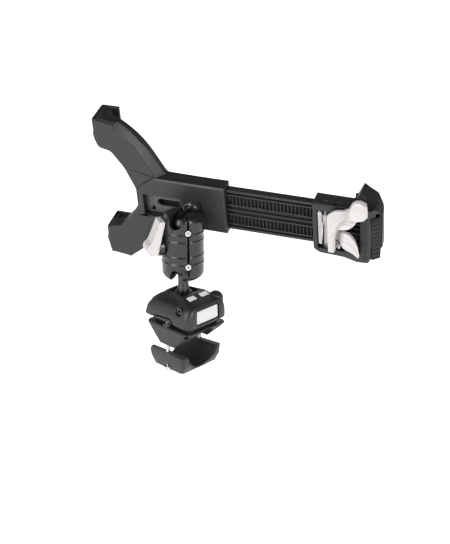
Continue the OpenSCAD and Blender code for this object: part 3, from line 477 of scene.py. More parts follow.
FINISHES: dict[Slot, MouldedFinish | MetalFinish] = {
    Slot.BLACK: MouldedFinish(
        "moulded_black", dark=(0.013, 0.0138, 0.0150), light=(0.019, 0.0198, 0.0212),
        scuff_highlight_tone=(0.060, 0.061, 0.064), roughness=0.46, grain=0.00045, depth=0.00006),
    Slot.PALE: MouldedFinish(
        "moulded_pale", dark=(0.65, 0.621, 0.613), light=(0.71, 0.68, 0.671),
        scuff_highlight_tone=(0.78, 0.76, 0.75), roughness=0.42, grain=0.0009, depth=0.00003,
        scuff_highlight_share=0.4, glow=0.06, strength=0.3),
    Slot.RUBBER: MouldedFinish(
        "moulded_rubber", dark=(0.010, 0.010, 0.011), light=(0.018, 0.018, 0.019),
        scuff_highlight_tone=(0.04, 0.04, 0.042), roughness=0.78, grain=0.0006, depth=0.00010,
        scuff_highlight_share=0.3, strength=0.7),
    Slot.ARM: MouldedFinish(
        "arm_coat", dark=(0.013, 0.0128, 0.0125), light=(0.019, 0.0187, 0.0183),
        scuff_highlight_tone=(0.10, 0.098, 0.095), roughness=0.25, grain=0.0007, depth=0.00003,
        scuff_highlight_share=0.6, strength=0.3),
    Slot.STUD: MetalFinish(
        "dark_stud", dark=(0.045, 0.045, 0.048), light=(0.085, 0.085, 0.09), roughness=0.36),
    Slot.STEEL: MetalFinish(
        "bright_steel", dark=(0.50, 0.495, 0.49), light=(0.66, 0.655, 0.65), roughness=0.26),
    Slot.WIRE: MetalFinish(
        "spring_wire", dark=(0.16, 0.155, 0.15), light=(0.27, 0.265, 0.26), roughness=0.32,
        marks=0.0001),
    Slot.PLATE: MouldedFinish(
        "pressed_plate", dark=(0.085, 0.086, 0.092), light=(0.105, 0.106, 0.113),
        scuff_highlight_tone=(0.19, 0.19, 0.195), roughness=0.40, grain=0.0005, depth=0.00003, strength=0.3),
}
WHITE = MouldedFinish(
    "moulded_white", dark=(0.87, 0.87, 0.87), light=(0.92, 0.92, 0.92), scuff_highlight_tone=(0.95, 0.95, 0.95),
    roughness=0.38, grain=0.0009, depth=0.00003, scuff_highlight_share=0.3, strength=0.3)


# Meshes


@dataclass(frozen=True)
class Place:
    """A right-handed set of axes in the row frame, in metres."""

    origin: Vector
    x: Vector
    y: Vector
    z: Vector

    def moved(self, x: float, y: float, z: float) -> Place:
        """The same axes with the origin moved by local millimetres."""
        step = (self.x * x + self.y * y + self.z * z) * MM
        return Place(self.origin + step, self.x, self.y, self.z)

    def matrix(self) -> Matrix:
        """The matrix that carries local points to the row frame."""
        turn = Matrix((self.x, self.y, self.z)).transposed().to_4x4()
        return Matrix.Translation(self.origin) @ turn


@dataclass
class Workshop:
    """Turns nodes and meshes into finished pieces.

    A copied node has corners closer than merge_gap joined, edges flatter than flat_angle
    removed and faces of more than most_corners corners cut up. Then its edges that turn by more
    than edge_angle are rounded.
    """

    frame: dict
    tools: ShaderTools = field(default_factory=ShaderTools)
    materials: dict[Slot, Material] = field(init=False)
    white: Material = field(init=False)
    merge_gap: float = 0.002 * MM
    flat_angle: float = math.radians(0.15)
    most_corners: int = 12
    edge_angle: float = math.radians(34)

    def __post_init__(self) -> None:
        """Builds each finish and gives it to the nodes that have that slot."""
        self.materials = {slot: finish.material(self.tools) for slot, finish in FINISHES.items()}
        self.white = WHITE.material(self.tools)
        for row in self.frame["record"]["subparts"]:
            node = self.frame["nodes"][row["node"]]
            node.data.materials.clear()
            node.data.materials.append(self.materials[Slot(row["material_slot"])])

    def joint(self, name: str) -> dict:
        """The joint of that name from the record."""
        return next(j for j in self.frame["joints"] if j["name"] == name)

    def slot_of(self, node: str) -> Slot:
        """The finish that the record gives a node."""
        rows = self.frame["record"]["subparts"]
        return Slot(next(r["material_slot"] for r in rows if r["node"] == node))

    def holder_axes(self) -> Place:
        """Axes of the holder: X along its sleeve and Y along the upper stud, from its hinge."""
        turn, slide = self.joint("holder_turn"), self.joint("holder_shift")
        x, y = Vector(slide["axis"]).normalized(), Vector(turn["axis"]).normalized()
        return Place(Vector(turn["pos_m"]), x, y, x.cross(y))

    def arm_axes(self) -> Place:
        """Axes of the arm: Z up, Y along the cam's pin, from the middle between the balls."""
        low, high = (Vector(self.joint(name)["pos_m"]) for name in ("arm_tilt", "stud_tilt"))
        y, z = -Vector(self.joint("cam_swing")["axis"]).normalized(), Vector((0, 0, 1))
        return Place((low + high) / 2, y.cross(z), y, z)

    @staticmethod
    def piece(name: str, mesh: Mesh) -> Piece:
        """Links a mesh into the scene as an object at the origin."""
        made = bpy.data.objects.new(name, mesh)
        bpy.context.scene.collection.objects.link(made)
        return made

    @staticmethod
    def mesh_of(name: str, form: Form) -> Mesh:
        """Turns a form into a mesh and frees the form."""
        mesh = bpy.data.meshes.new(name)
        form.to_mesh(mesh)
        form.free()
        return mesh

    def finish(self, piece: Piece, node: str) -> Piece:
        """Dresses a piece, ties it to its body and stands it in for a node.

        Args:
            piece: The finished mesh object, at the origin.
            node: The CAD node that it stands for.

        Returns:
            The same piece.
        """
        slot, body = self.slot_of(node), self.frame["nodes"][node]["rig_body"]
        piece.data.materials.clear()
        piece.data.materials.append(self.materials[slot])
        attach(piece, body)
        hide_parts(node)
        LOG.info("%s rides on %s with %d faces", piece.name, body, len(piece.data.polygons))
        return piece

    def merged(self, node: str) -> Mesh:
        """A copy of a node's mesh with its loose triangles joined and flat faces made whole.

        Args:
            node: The CAD node to copy.

        Returns:
            The new mesh.
        """
        form = bmesh.new()
        form.from_mesh(self.frame["nodes"][node].data)
        bmesh.ops.remove_doubles(form, verts=form.verts, dist=self.merge_gap)
        bmesh.ops.dissolve_limit(
            form, angle_limit=self.flat_angle, verts=form.verts, edges=form.edges)
        bmesh.ops.connect_verts_concave(form, faces=form.faces)
        large = [f for f in form.faces if len(f.verts) > self.most_corners]
        bmesh.ops.triangulate(form, faces=large)
        mesh = self.mesh_of(node + "_form", form)
        for attribute in [a for a in mesh.attributes if a.name == "custom_normal"]:
            mesh.attributes.remove(attribute)
        return mesh

    def rounded(self, node: str, width: float, steps: int = 3) -> Piece:
        """Stands a copy with rounded edges in for a node.

        Args:
            node: The CAD node.
            width: Width of the rounding in millimetres.
            steps: Steps of the rounding.

        Returns:
            The finished piece.
        """
        piece = self.piece(node + "_dressed", self.merged(node))
        piece.data.shade_smooth()
        bevel = piece.modifiers.new("rounded_edges", "BEVEL")
        bevel.width = width * MM
        bevel.segments = steps
        bevel.limit_method = "ANGLE"
        bevel.angle_limit = self.edge_angle
        bevel.use_clamp_overlap = False
        bevel.harden_normals = True
        bevel.miter_outer = "MITER_SHARP"
        return self.finish(piece, node)

    def round_all(self, widths: dict[str, float]) -> None:
        """Stands rounded copies in for several nodes, with widths in millimetres."""
        for node, width in widths.items():
            self.rounded(node, width)

    @staticmethod
    def recoat(node: str, coat: Material) -> None:
        """Gives the dressed copy of a node another material than its slot's."""
        bpy.data.objects[node + "_dressed"].data.materials[0] = coat

    @staticmethod
    def plain(piece: Piece, place: Place | None = None) -> None:
        """Applies a piece's modifiers and moves its mesh into the row frame.

        Args:
            piece: An object at the origin whose mesh is in the axes of place.
            place: Those axes, or None for the row frame.
        """
        bpy.context.view_layer.update()
        seen = piece.evaluated_get(bpy.context.evaluated_depsgraph_get())
        mesh = bpy.data.meshes.new_from_object(seen)
        piece.modifiers.clear()
        piece.data = mesh
        if place is not None:
            mesh.transform(place.matrix())
        mesh.shade_smooth()


@dataclass
class SoftForm:
    """A moulded form: lofted blocks, in millimetres, that become one softened skin.

    voxel is the size of the skin's faces, and passes are its rounds of smoothing.
    """

    shop: Workshop
    place: Place
    voxel: float
    passes: int
    rod_sides: int = 32
    bore_sides: int = 40
    through: float = 200
    crease_angle: float = math.radians(50)
    form: Form = field(default_factory=bmesh.new)
    tools: list[Form] = field(default_factory=list)

    def loft(self, rings: list[list[Point]]) -> None:
        """Adds a closed block.

        Args:
            rings: Its rings from end to end, with the same number of points.
        """
        rows = [[self.form.verts.new(Vector(p) * MM) for p in ring] for ring in rings]
        count = len(rows[0])
        for low, high in zip(rows, rows[1:]):
            for i in range(count):
                j = (i + 1) % count
                self.form.faces.new((low[i], low[j], high[j], high[i]))
        self.form.faces.new(rows[0][::-1])
        self.form.faces.new(rows[-1])

    def swell(self, rings: Rings) -> None:
        """Adds a block through outlines in x and z, each at its own y."""
        self.loft([[(x, y, z) for x, z in outline] for y, outline in rings])

    def slab(self, outline: Outline, y0: float, y1: float) -> None:
        """Adds a plate drawn in x and z that is thick along y."""
        self.swell(((y0, outline), (y1, outline)))

    def post(self, outline: Outline, z0: float, z1: float) -> None:
        """Adds a block drawn in x and y that stands along z."""
        self.loft([[(x, y, z) for x, y in outline] for z in (z0, z1)])

    def rod(self, middle: tuple[float, float], radius: float, z0: float, z1: float) -> None:
        """Adds a round rod along z."""
        self.post(circle(middle, radius, self.rod_sides), z0, z1)

    def bore(self, middle: Point, along: Point, radius: float, length: float | None = None) -> None:
        """Notes a round hole, which is drilled after the skin is made.

        Args:
            middle: Its middle.
            along: Direction of its axis.
            radius: Its radius.
            length: Its length, or None for a hole right through.
        """
        tool = bmesh.new()
        bmesh.ops.create_cone(tool, cap_ends=True, segments=self.bore_sides, radius1=radius * MM,
                              radius2=radius * MM, depth=(length or self.through) * MM)
        turn = Vector(along).to_track_quat("Z", "Y").to_matrix().to_4x4()
        self._note(tool, Matrix.Translation(Vector(middle) * MM) @ turn)

    def notch(self, low: Point, high: Point) -> None:
        """Notes a square cut between two corners."""
        tool = bmesh.new()
        bmesh.ops.create_cube(tool, size=1)
        size, middle = Vector(high) - Vector(low), (Vector(high) + Vector(low)) / 2
        self._note(tool, Matrix.Translation(middle * MM) @ Matrix.Diagonal((*(size * MM), 1)))

    def _note(self, tool: Form, place: Matrix) -> None:
        """Keeps a cutting tool, moved to its place."""
        bmesh.ops.transform(tool, matrix=place, verts=tool.verts)
        self.tools.append(tool)

    def _skin(self, piece: Piece) -> None:
        """Gives a piece one even skin and smooths it."""
        cover = piece.modifiers.new("skin", "REMESH")
        cover.mode = "VOXEL"
        cover.voxel_size = self.voxel * MM
        soft = piece.modifiers.new("soft", "SMOOTH")
        soft.factor = 0.5
        soft.iterations = self.passes
        self.shop.plain(piece)

    @staticmethod
    def _carve(mesh: Mesh, depth: Callable[[Vector], float]) -> None:
        """Presses the faces that point to -y in.

        Args:
            mesh: The mesh.
            depth: Depth in millimetres at a point that is given in millimetres.
        """
        # All normals are read before a point moves, as each would be worked out anew after it
        rows = [(v.co.copy(), max(0.0, -v.normal.y)) for v in mesh.vertices]
        moved = [p + Vector((0, depth(p / MM) * facing * MM, 0)) for p, facing in rows]
        mesh.vertices.foreach_set("co", [c for p in moved for c in p])
        mesh.update()

    def _cut(self, piece: Piece) -> None:
        """Makes the noted cuts in a piece that is still in the form's own axes."""
        for tool in self.tools:
            cutter = self.shop.piece("tool", self.shop.mesh_of("tool", tool))
            step = piece.modifiers.new("cut", "BOOLEAN")
            step.operation = "DIFFERENCE"
            step.solver = "MANIFOLD"
            step.object = cutter
            self.shop.plain(piece)
            bpy.data.objects.remove(cutter)

    def finish(self, name: str, node: str, depth: Callable[[Vector], float] | None = None) -> None:
        """Fuses the blocks, presses their hollows in and stands the piece in for a node.

        Args:
            name: The piece's name.
            node: The node that it stands for.
            depth: Depth of its hollows in millimetres at a point that is given in millimetres.
        """
        bmesh.ops.recalc_face_normals(self.form, faces=self.form.faces)
        piece = self.shop.piece(name, self.shop.mesh_of(name, self.form))
        self._skin(piece)
        if depth is not None:
            self._carve(piece.data, depth)
        self._cut(piece)
        piece.data.set_sharp_from_angle(angle=self.crease_angle)
        piece.data.transform(self.place.matrix())
        piece.data.update()
        self.shop.finish(piece, node)


def shifted(outline: Outline, x: float, y: float) -> Outline:
    """The outline moved by x and y."""
    return tuple((x + across, y + along) for across, along in outline)


def circle(middle: tuple[float, float], radius: float, sides: int) -> Outline:
    """The corners of a circle."""
    turns = [2 * math.pi * i / sides for i in range(sides)]
    return shifted(tuple((radius * math.cos(a), radius * math.sin(a)) for a in turns), *middle)


def groove(point: Vector, path: Outline, width: float, depth: float) -> float:
    """Depth of a round groove along a path in x and z.

    Args:
        point: The point.
        path: Corners of the path.
        width: Half width of the groove.
        depth: Depth of its middle.

    Returns:
        The depth at the point.
    """
    here = Vector((point.x, point.z))
    near = math.inf
    for a, b in zip(path, path[1:]):
        start, step = Vector(a), Vector(b) - Vector(a)
        share = min(1.0, max(0.0, (here - start).dot(step) / step.length_squared))
        near = min(near, (here - start - share * step).length)
    return depth * math.exp(-((near / width) ** 2))


@dataclass(frozen=True)
class Dish:
    """An oval hollow drawn in x and z, in millimetres."""

    x: float
    z: float
    half_width: float
    half_height: float
    depth: float

    def at(self, point: Vector) -> float:
        """Its depth at a point."""
        away = ((point.x - self.x) / self.half_width) ** 2
        away += ((point.z - self.z) / self.half_height) ** 2
        return self.depth * max(0.0, 1 - away) ** 1.5


# Geometry nodes


class WireTree:
    """A tree that winds a spring of round wire, which climbs along Z from the origin."""

    def __init__(self) -> None:
        """Builds the tree."""
        self.tree = bpy.data.node_groups.new("spring_wire", "GeometryNodeTree")
        self._socket("Geometry", "NodeSocketGeometry")
        for key, value in {"Radius": 0.002, "Wire": 0.0003, "Height": 0.005, "Turns": 5.0}.items():
            self._socket(key, "NodeSocketFloat").default_value = value
        self._socket("Finish", "NodeSocketMaterial")
        self.tree.interface.new_socket("Geometry", in_out="OUTPUT",
                                       socket_type="NodeSocketGeometry")
        self._fill()

    def _socket(self, name: str, kind: str) -> bpy.types.NodeTreeInterfaceSocket:
        """Adds an input to the tree."""
        return self.tree.interface.new_socket(name, in_out="INPUT", socket_type=kind)

    def _fill(self) -> None:
        """Adds the nodes, which end in Realize Instances and Set Material."""
        tree = self.tree
        given = tree.nodes.new("NodeGroupInput").outputs
        rise = {"Start Radius": given["Radius"], "End Radius": given["Radius"],
                "Height": given["Height"], "Rotations": given["Turns"], "Resolution": 28}
        path = add_node(tree, "GeometryNodeCurveSpiral", rise)
        ring = add_node(tree, "GeometryNodeCurvePrimitiveCircle",
                        {"Radius": given["Wire"], "Resolution": 10})
        tube = add_node(tree, "GeometryNodeCurveToMesh", {
            "Curve": path.outputs["Curve"], "Profile Curve": ring.outputs["Curve"],
            "Fill Caps": True})
        real = add_node(tree, "GeometryNodeRealizeInstances", {"Geometry": tube.outputs["Mesh"]})
        coat = add_node(tree, "GeometryNodeSetMaterial", {
            "Geometry": real.outputs["Geometry"], "Material": given["Finish"]})
        add_node(tree, "NodeGroupOutput", {0: coat.outputs["Geometry"]})

    def grow(self, piece: Piece, coat: Material, **sizes: float) -> None:
        """Puts the tree on a piece and sets its inputs.

        Args:
            piece: The piece.
            coat: Its material.
            sizes: The tree's sizes, by name.
        """
        grown = piece.modifiers.new(self.tree.name, "NODES")
        grown.node_group = self.tree
        for socket in self.tree.interface.items_tree:
            if socket.in_out == "INPUT" and socket.name != "Geometry":
                grown[socket.identifier] = coat if socket.name == "Finish" else sizes[socket.name]


@dataclass(frozen=True)
class Coil:
    """Sizes of a spring in millimetres: radius to the wire's middle, wire, climb of a turn."""

    radius: float
    wire: float
    pitch: float
    turns: float


@dataclass
class Winder:
    """Stands round wire in for the springs of the CAD model."""

    shop: Workshop
    tree: WireTree = field(default_factory=WireTree)

    def wind(self, node: str, coil: Coil, *starts: Place) -> Piece:
        """Winds the springs of one node.

        Args:
            node: The CAD node.
            coil: Their sizes.
            starts: For each spring the start of its axis, with Z along it.

        Returns:
            The finished piece.
        """
        coat = self.shop.materials[self.shop.slot_of(node)]
        form = bmesh.new()
        for start in starts:
            spring = self.shop.piece("coil", bpy.data.meshes.new("coil"))
            self.tree.grow(spring, coat, Radius=coil.radius * MM, Wire=coil.wire / 2 * MM,
                           Height=coil.pitch * coil.turns * MM, Turns=float(coil.turns))
            self.shop.plain(spring, start)
            form.from_mesh(spring.data)
            bpy.data.objects.remove(spring)
        piece = self.shop.piece(node + "_wound", self.shop.mesh_of(node + "_wound", form))
        piece.data.shade_smooth()
        return self.shop.finish(piece, node)


# The studio


@dataclass(frozen=True)
class Bearing:
    """A direction from the mount, as azimuth and elevation of a view in degrees."""

    azimuth: float
    elevation: float

    def away(self) -> Vector:
        """The unit vector that points there from the mount."""
        a, e = math.radians(self.azimuth), math.radians(self.elevation)
        return Vector((math.sin(a) * math.cos(e), -math.cos(a) * math.cos(e), math.sin(e)))

    def hang(self, name: str, data: bpy.types.ID, place: Vector) -> Piece:
        """Places a camera or lamp that looks back along the direction.

        Args:
            name: The object's name.
            data: The camera or lamp.
            place: Its place.

        Returns:
            The new object.
        """
        thing = bpy.data.objects.new(name, data)
        bpy.context.scene.collection.objects.link(thing)
        thing.location = place
        thing.rotation_mode = "QUATERNION"
        thing.rotation_quaternion = (-self.away()).to_track_quat("-Z", "Y")
        return thing


@dataclass(frozen=True)
class Lamp:
    """A soft square lamp that points at the mount: distance and side in metres, power in watts."""

    name: str
    bearing: Bearing
    reach: float
    size: float
    power: float

    def hang(self, aim: Vector) -> None:
        """Hangs the lamp so that it points at a place."""
        data = bpy.data.lights.new(self.name, "AREA")
        data.size = self.size
        data.energy = self.power
        self.bearing.hang(self.name, data, aim + self.bearing.away() * self.reach)


@dataclass(frozen=True)
class Studio:
    """Plain pale floor, soft lights and the camera."""

    view: Bearing = Bearing(42.2, 21.3)
    camera_place: Vector = Vector((0.7483, -0.7761, 0.4794))
    focal_px: float = 1465
    tall_px: float = 544
    floor_gap: float = 0.03
    floor_half: float = 4.0
    floor_tone: float = 0.86
    aim: Vector = Vector((0, 0, 0.1))
    sky: float = 0.42
    zenith: float = 0.021
    lamps: tuple[Lamp, ...] = (
        Lamp("key", Bearing(-6, 20), reach=1.6, size=0.9, power=20),
        Lamp("fill", Bearing(80, 18), reach=1.7, size=0.7, power=17),
        Lamp("back", Bearing(215, 20), reach=1.8, size=1.0, power=3))

    def camera(self) -> None:
        """Places the camera of the photograph."""
        data = bpy.data.cameras.new("camera")
        data.sensor_width = 36
        data.lens = self.focal_px * data.sensor_width / self.tall_px
        data.clip_start = 0.01
        data.clip_end = 50
        bpy.context.scene.camera = self.view.hang("camera", data, self.camera_place)

    def floor(self, low: float) -> None:
        """Lays the floor a little below the mount, and shows it white.

        Args:
            low: Height of the lowest point of the mount.
        """
        form = bmesh.new()
        bmesh.ops.create_grid(form, x_segments=1, y_segments=1, size=self.floor_half)
        bmesh.ops.translate(form, verts=form.verts, vec=(0, 0, low - self.floor_gap))
        floor = Workshop.piece("floor", Workshop.mesh_of("floor", form))
        recipe = Recipe("pale_floor")
        tone = (self.floor_tone, self.floor_tone, self.floor_tone, 1)
        floor.data.materials.append(recipe.finish({
            "Base Color": tone, "Roughness": 0.9, "Specular IOR Level": 0.1,
            "Emission Color": (1, 1, 1, 1),
            "Emission Strength": seen_directly(recipe.tree, "Is Glossy Ray")}))
        floor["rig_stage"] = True

    def world(self) -> None:
        """Gives the sky a plain level of light and shows it white."""
        world = bpy.data.worlds.new("studio")
        bpy.context.scene.world = world
        world.use_nodes = True
        tree = world.node_tree
        # The sky dims towards the zenith, so faces that look up stay darker than upright ones
        way = add_node(tree, "ShaderNodeTexCoord").outputs["Generated"]
        parts = add_node(tree, "ShaderNodeSeparateXYZ", {0: way})
        light = remap(tree, parts.outputs["Z"], start=0.1, stop=0.75,
                      low=self.sky, high=self.zenith)
        shown = seen_directly(tree, "Is Transmission Ray")
        strength = remap(tree, shown, start=0, stop=1, low=light, high=1)
        feed(tree, tree.nodes["Background"], {"Color": (1, 1, 1, 1), "Strength": strength})

    def light(self, low: float) -> None:
        """Sets the whole studio.

        Args:
            low: Height of the lowest point of the mount.
        """
        self.floor(low)
        self.world()
        for lamp in self.lamps:
            lamp.hang(self.aim)
        bpy.context.scene.view_settings.view_transform = "Standard"


# The mount


@dataclass
class RailClamp:
    """Housing, button, jaws and screws of the clamp. Roundings are in millimetres."""

    shop: Workshop
    winder: Winder
    shells: dict[str, float] = field(default_factory=lambda: {
        "base_housing": 0.5, "release_button": 0.3, "roof_marks": 0.15,
        "upper_jaw": 0.2, "lower_jaw": 0.2})
    fittings: dict[str, float] = field(default_factory=lambda: {
        "upper_pad": 0.25, "lower_pad": 0.25,
        "housing_screws": 0.2, "clamp_screws": 0.2, "clamp_nuts": 0.2})
    coil_radius: float = 1.5
    coil_wire: float = 0.6
    coil_turns: int = 6
    coil_kept: float = 0.6

    def build(self) -> None:
        """Builds every piece of the clamp."""
        self.shop.round_all(self.shells)
        self.button_coil()
        self.shop.round_all(self.fittings)
        # The photograph shows these screws dark, and the button and marks whiter than the levers
        self.shop.recoat("housing_screws", self.shop.materials[Slot.STUD])
        for node in ("release_button", "roof_marks"):
            self.shop.recoat(node, self.shop.white)

    def button_coil(self) -> None:
        """The coil behind the latch, which the button squashes."""
        corners = [v.co for v in self.shop.frame["nodes"]["button_spring"].data.vertices]
        half = self.coil_wire / 2 * MM
        middle = sum(c.z for c in corners) / len(corners)
        start = Vector((min(c.x for c in corners) + half, 0, middle))
        long = max(c.x for c in corners) - start.x - half
        coil = Coil(self.coil_radius, self.coil_wire, long / MM / self.coil_turns, self.coil_turns)
        axes = Place(start, Vector((0, 0, -1)), Vector((0, 1, 0)), Vector((1, 0, 0)))
        piece = self.winder.wind("button_spring", coil, axes)
        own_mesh(piece)


@dataclass
class BallArm:
    """Two shells round two balls, with the cam lever that locks them. In millimetres."""

    shop: Workshop
    winder: Winder
    shells: dict[str, float] = field(default_factory=lambda: {
        "arm_shell_left": 0.4, "arm_shell_right": 0.4})
    fittings: dict[str, float] = field(default_factory=lambda: {
        "arm_dowels": 0.25, "tension_bolt": 0.25, "cam_pin": 0.25})
    studs: dict[str, float] = field(default_factory=lambda: {"lower_stud": 0.2, "upper_stud": 0.2})
    coil: Coil = Coil(radius=3.8, wire=0.9, pitch=1.55, turns=4)
    coil_start: float = -3.55
    blade: Outline = (
        (-19.7, 22.0), (-15.8, 22.2), (-16.1, 19), (-17.6, 13.5), (-19.1, 6.5),
        (-20.2, 2.0), (-23.0, -3.2), (-29.0, 2.4), (-27.2, 4.6), (-23.8, 11.4))
    blade_half: float = 7.3
    lobe: tuple[float, float] = (-25.6, -0.2)
    lobe_radius: float = 4.95
    lobe_sides: int = 40
    pin_x: float = -25.5
    pin_bore: float = 3.75
    pin_room: float = 13.2
    bolt_half: float = 2.8
    bolt_end: float = -17
    slot_back: float = -29.2
    slot_low: float = -9
    washer_edge: float = 0.4
    washer_rim: float = -5.2

    def mould(self) -> None:
        """Blade with a round lobe at its foot, hollow round its pin and bolt."""
        form = SoftForm(self.shop, self.shop.arm_axes(), voxel=0.26, passes=12)
        form.slab(self.blade, -self.blade_half, self.blade_half)
        lobe = circle(self.lobe, self.lobe_radius, self.lobe_sides)
        form.slab(lobe, -self.blade_half, self.blade_half)
        form.bore((self.pin_x, 0, 0), (0, 1, 0), self.pin_bore, self.pin_room)
        half = self.bolt_half
        form.notch((self.pin_x, -half, -half), (self.bolt_end, half, half))
        form.notch((self.slot_back, -half, self.slot_low), (self.bolt_end, half, 0))
        form.finish("cam_blade", "cam_lever")

    def build(self) -> None:
        """Builds every other piece of the arm."""
        self.shop.round_all(self.shells)
        self.cam_washer()
        self.shop.round_all(self.fittings)
        arm = self.shop.arm_axes()
        lying = Place(arm.origin, -arm.z, arm.y, arm.x).moved(0, 0, self.coil_start)
        self.winder.wind("shell_spring", self.coil, lying)
        self.shop.round_all(self.studs)

    def cam_washer(self) -> None:
        """Cup between the cam and the shell, dark but for its lower rim."""
        cup = self.shop.rounded("cam_washer", self.washer_edge)
        cup.data.materials.clear()
        for slot in (Slot.ARM, Slot.PALE):
            cup.data.materials.append(self.shop.materials[slot])
        back = self.shop.arm_axes().matrix().inverted()
        for face in cup.data.polygons:
            face.material_index = int((back @ face.center).z < self.washer_rim * MM)


@dataclass
class Holder:
    """Fork, sleeve, slotted plate and rack bar. Roundings are in millimetres."""

    shop: Workshop
    mouldings: dict[str, float] = field(default_factory=lambda: {
        "holder_body": 0.5, "slot_plate": 0.25})
    bar_edge: float = 0.22
    bar_steps: int = 2
    fittings: dict[str, float] = field(default_factory=lambda: {
        "stud_plate": 0.2, "collar_ring": 0.2, "slide_nut": 0.2, "slot_plate_screws": 0.2,
        "bar_screws": 0.2, "upper_hook_pad": 0.4, "lower_hook_pad": 0.4})

    def build(self) -> None:
        """Builds every piece of the holder."""
        self.shop.round_all(self.mouldings)
        self.shop.rounded("rack_bar", self.bar_edge, self.bar_steps)
        self.shop.round_all(self.fittings)
        # The photograph shows these screws dark too
        self.shop.recoat("slot_plate_screws", self.shop.materials[Slot.STUD])


@dataclass
class Carriage:
    """Frame, jaw, levers and pawls at the end of the bar. In millimetres, in the holder's axes."""

    shop: Workshop
    winder: Winder
    edges: dict[str, float] = field(default_factory=lambda: {
        "jaw_carriage": 0.5, "jaw_pad": 0.4, "grip_pad": 0.25, "holding_pawl": 0.3,
        "lever_pins": 0.15, "drive_pawl": 0.15, "drive_pawl_pin": 0.15})
    lever_coil: Coil = Coil(radius=2.2, wire=0.6, pitch=1.05, turns=2)
    pawl_coil: Coil = Coil(radius=2.2, wire=0.6, pitch=1.05, turns=2.5)
    lever_coil_z: float = 7.4
    release_coil_z: float = -5.6
    pawl_coil_z: tuple[float, float] = (19.0, -12.4)
    hub: float = 3.0
    pin_bore: float = 1.6
    # The thumb lever: two ears that reach from the pin to the leg, then its layers in x and z
    ears: tuple[tuple[float, float], ...] = ((18.0, 22.5), (-9.3, -6.3))
    ear: Outline = ((-5.4, -11), (-1.4, -11), (-0.6, 0), (-2.4, 0), (-5.4, -6))
    front: Outline = (
        (115.9, -9.3), (115.7, 23.1), (116.6, 26.4), (119.0, 28.2), (122.0, 30.4),
        (129.8, 31.9), (133.5, 34.0), (138, 34), (141, 28), (138.6, 25.4), (129.8, 23.6),
        (125.6, 19.6), (122.6, 14.0), (120.6, 6.0), (120.0, -9.3))
    front_depth: tuple[float, float] = (-17, -14.6)
    fall: Outline = (
        (116.2, -9.3), (116.2, 22.6), (118.4, 27.2), (122.0, 29.6), (129.8, 31.2), (137, 33),
        (140, 28), (138.4, 23.8), (130.4, 21.6), (126.8, 18.0), (123.6, 12.4), (121.2, 5.0),
        (120.8, -9.3))
    fall_depth: tuple[float, float] = (-15.6, -13)
    web: Outline = (
        (120.4, 12.4), (121.5, 24), (134, 28), (138.6, 24), (137.4, 20.2), (135, 16.6),
        (132, 14.0), (128.6, 12.7), (123.6, 12.4))
    web_depth: tuple[float, float] = (-15.2, -12.6)
    thumb: Rings = (
        (-14.0, ((128, 30.8), (132.6, 33.8), (135.0, 39), (138, 41.8), (142, 42.6), (146, 40.8),
                 (147, 33), (144, 28), (138, 24.6), (128, 23.2))),
        (-17.6, ((130.4, 31.8), (134.2, 35.8), (136.0, 41.3), (138.7, 44.2), (142.5, 44.6),
                 (147.0, 42.2), (147.8, 32.8), (144.8, 28.2), (138.6, 25.8), (131, 23.8))),
        (-20.4, ((132.8, 33.0), (135.1, 38.2), (136.7, 42.8), (139.0, 45.2), (142.8, 45.5),
                 (148.0, 42.4), (148.6, 32.6), (145.4, 28.4), (139.2, 26.4), (133.6, 25.2))),
        (-22.5, ((135.4, 35.4), (136.3, 39.8), (137.5, 43.4), (139.7, 45.3), (143.0, 45.5),
                 (147.4, 42.7), (147.9, 33.4), (145.0, 29.8), (139.8, 28.0), (135.8, 28.2))))
    thumb_start: float = -16
    scoop: Dish = Dish(x=130.4, z=16.6, half_width=4.6, half_height=3.0, depth=1.3)
    thumb_dish: Dish = Dish(x=141.6, z=35.4, half_width=7.0, half_height=8.0, depth=0.9)
    crease: Outline = ((138.4, 37.6), (146.4, 36.8))
    crease_half: float = 0.5
    crease_depth: float = 0.22
    # The release lever: its hub with a neck and a tail, drawn from the pin, then its horn
    hub_depth: tuple[float, float] = (-2.8, 6.8)
    neck: Outline = ((0, 2.6), (0.6, -3.4), (8.6, -6), (3, 0))
    tail: Outline = ((-6.5, 1.8), (-6.5, 2.5), (0, 2.9), (0, 0))
    tail_inset: float = 1.6
    horn: Rings = (
        (-9.4, ((122.8, -2.8), (123.4, 6.2), (125.4, 7.4), (127.6, 7.8), (131, 7.0), (134.2, 3.4),
                (136.2, -1.4), (137.0, -5.4), (135.2, -5.6), (133, -4), (129, -3), (125, -2.8))),
        (-12.2, ((124.4, -2.8), (125.2, 6.6), (127.4, 8.6), (129.6, 9.0), (132, 7.6),
                 (135.4, 3.2), (137.7, -2), (139.0, -9), (137.4, -10.2), (135.4, -8.2),
                 (131.5, -5.6), (126.5, -3.4))),
        (-14.5, ((126.2, -3.0), (126.9, 7.2), (128.4, 9.7), (130.4, 9.8), (133, 8.5),
                 (136.3, 4.3), (138.7, -1), (140.1, -9.6), (138.6, -11.8), (136.4, -9.5),
                 (132.5, -6.7), (128.5, -4.3))),
        (-16.5, ((127.2, -3.4), (128.0, 8.2), (129.2, 10.2), (131.0, 10.2), (133.4, 8.9),
                 (136.6, 4.7), (139, -0.3), (140.4, -8.6), (139.5, -11.5), (137.2, -9.5),
                 (134, -7.1), (130, -5.5))))
    horn_start: float = -9
    fold: Outline = ((125.5, 1.2), (128.3, 1.0), (132.3, -0.2), (135.4, -3.2), (137.4, -6.6))
    fold_half: float = 1.1
    fold_depth: float = 0.7

    def pin(self, joint: str) -> tuple[float, float]:
        """Place of a joint's pin across the holder's axes, to a tenth of a millimetre."""
        back = self.shop.holder_axes().matrix().inverted()
        here = back @ Vector(self.shop.joint(joint)["pos_m"]) / MM
        return round(here.x, 1), round(here.y, 1)

    def mould(self) -> None:
        """Builds the moulded forms."""
        self.thumb_lever()
        self.release_horn()

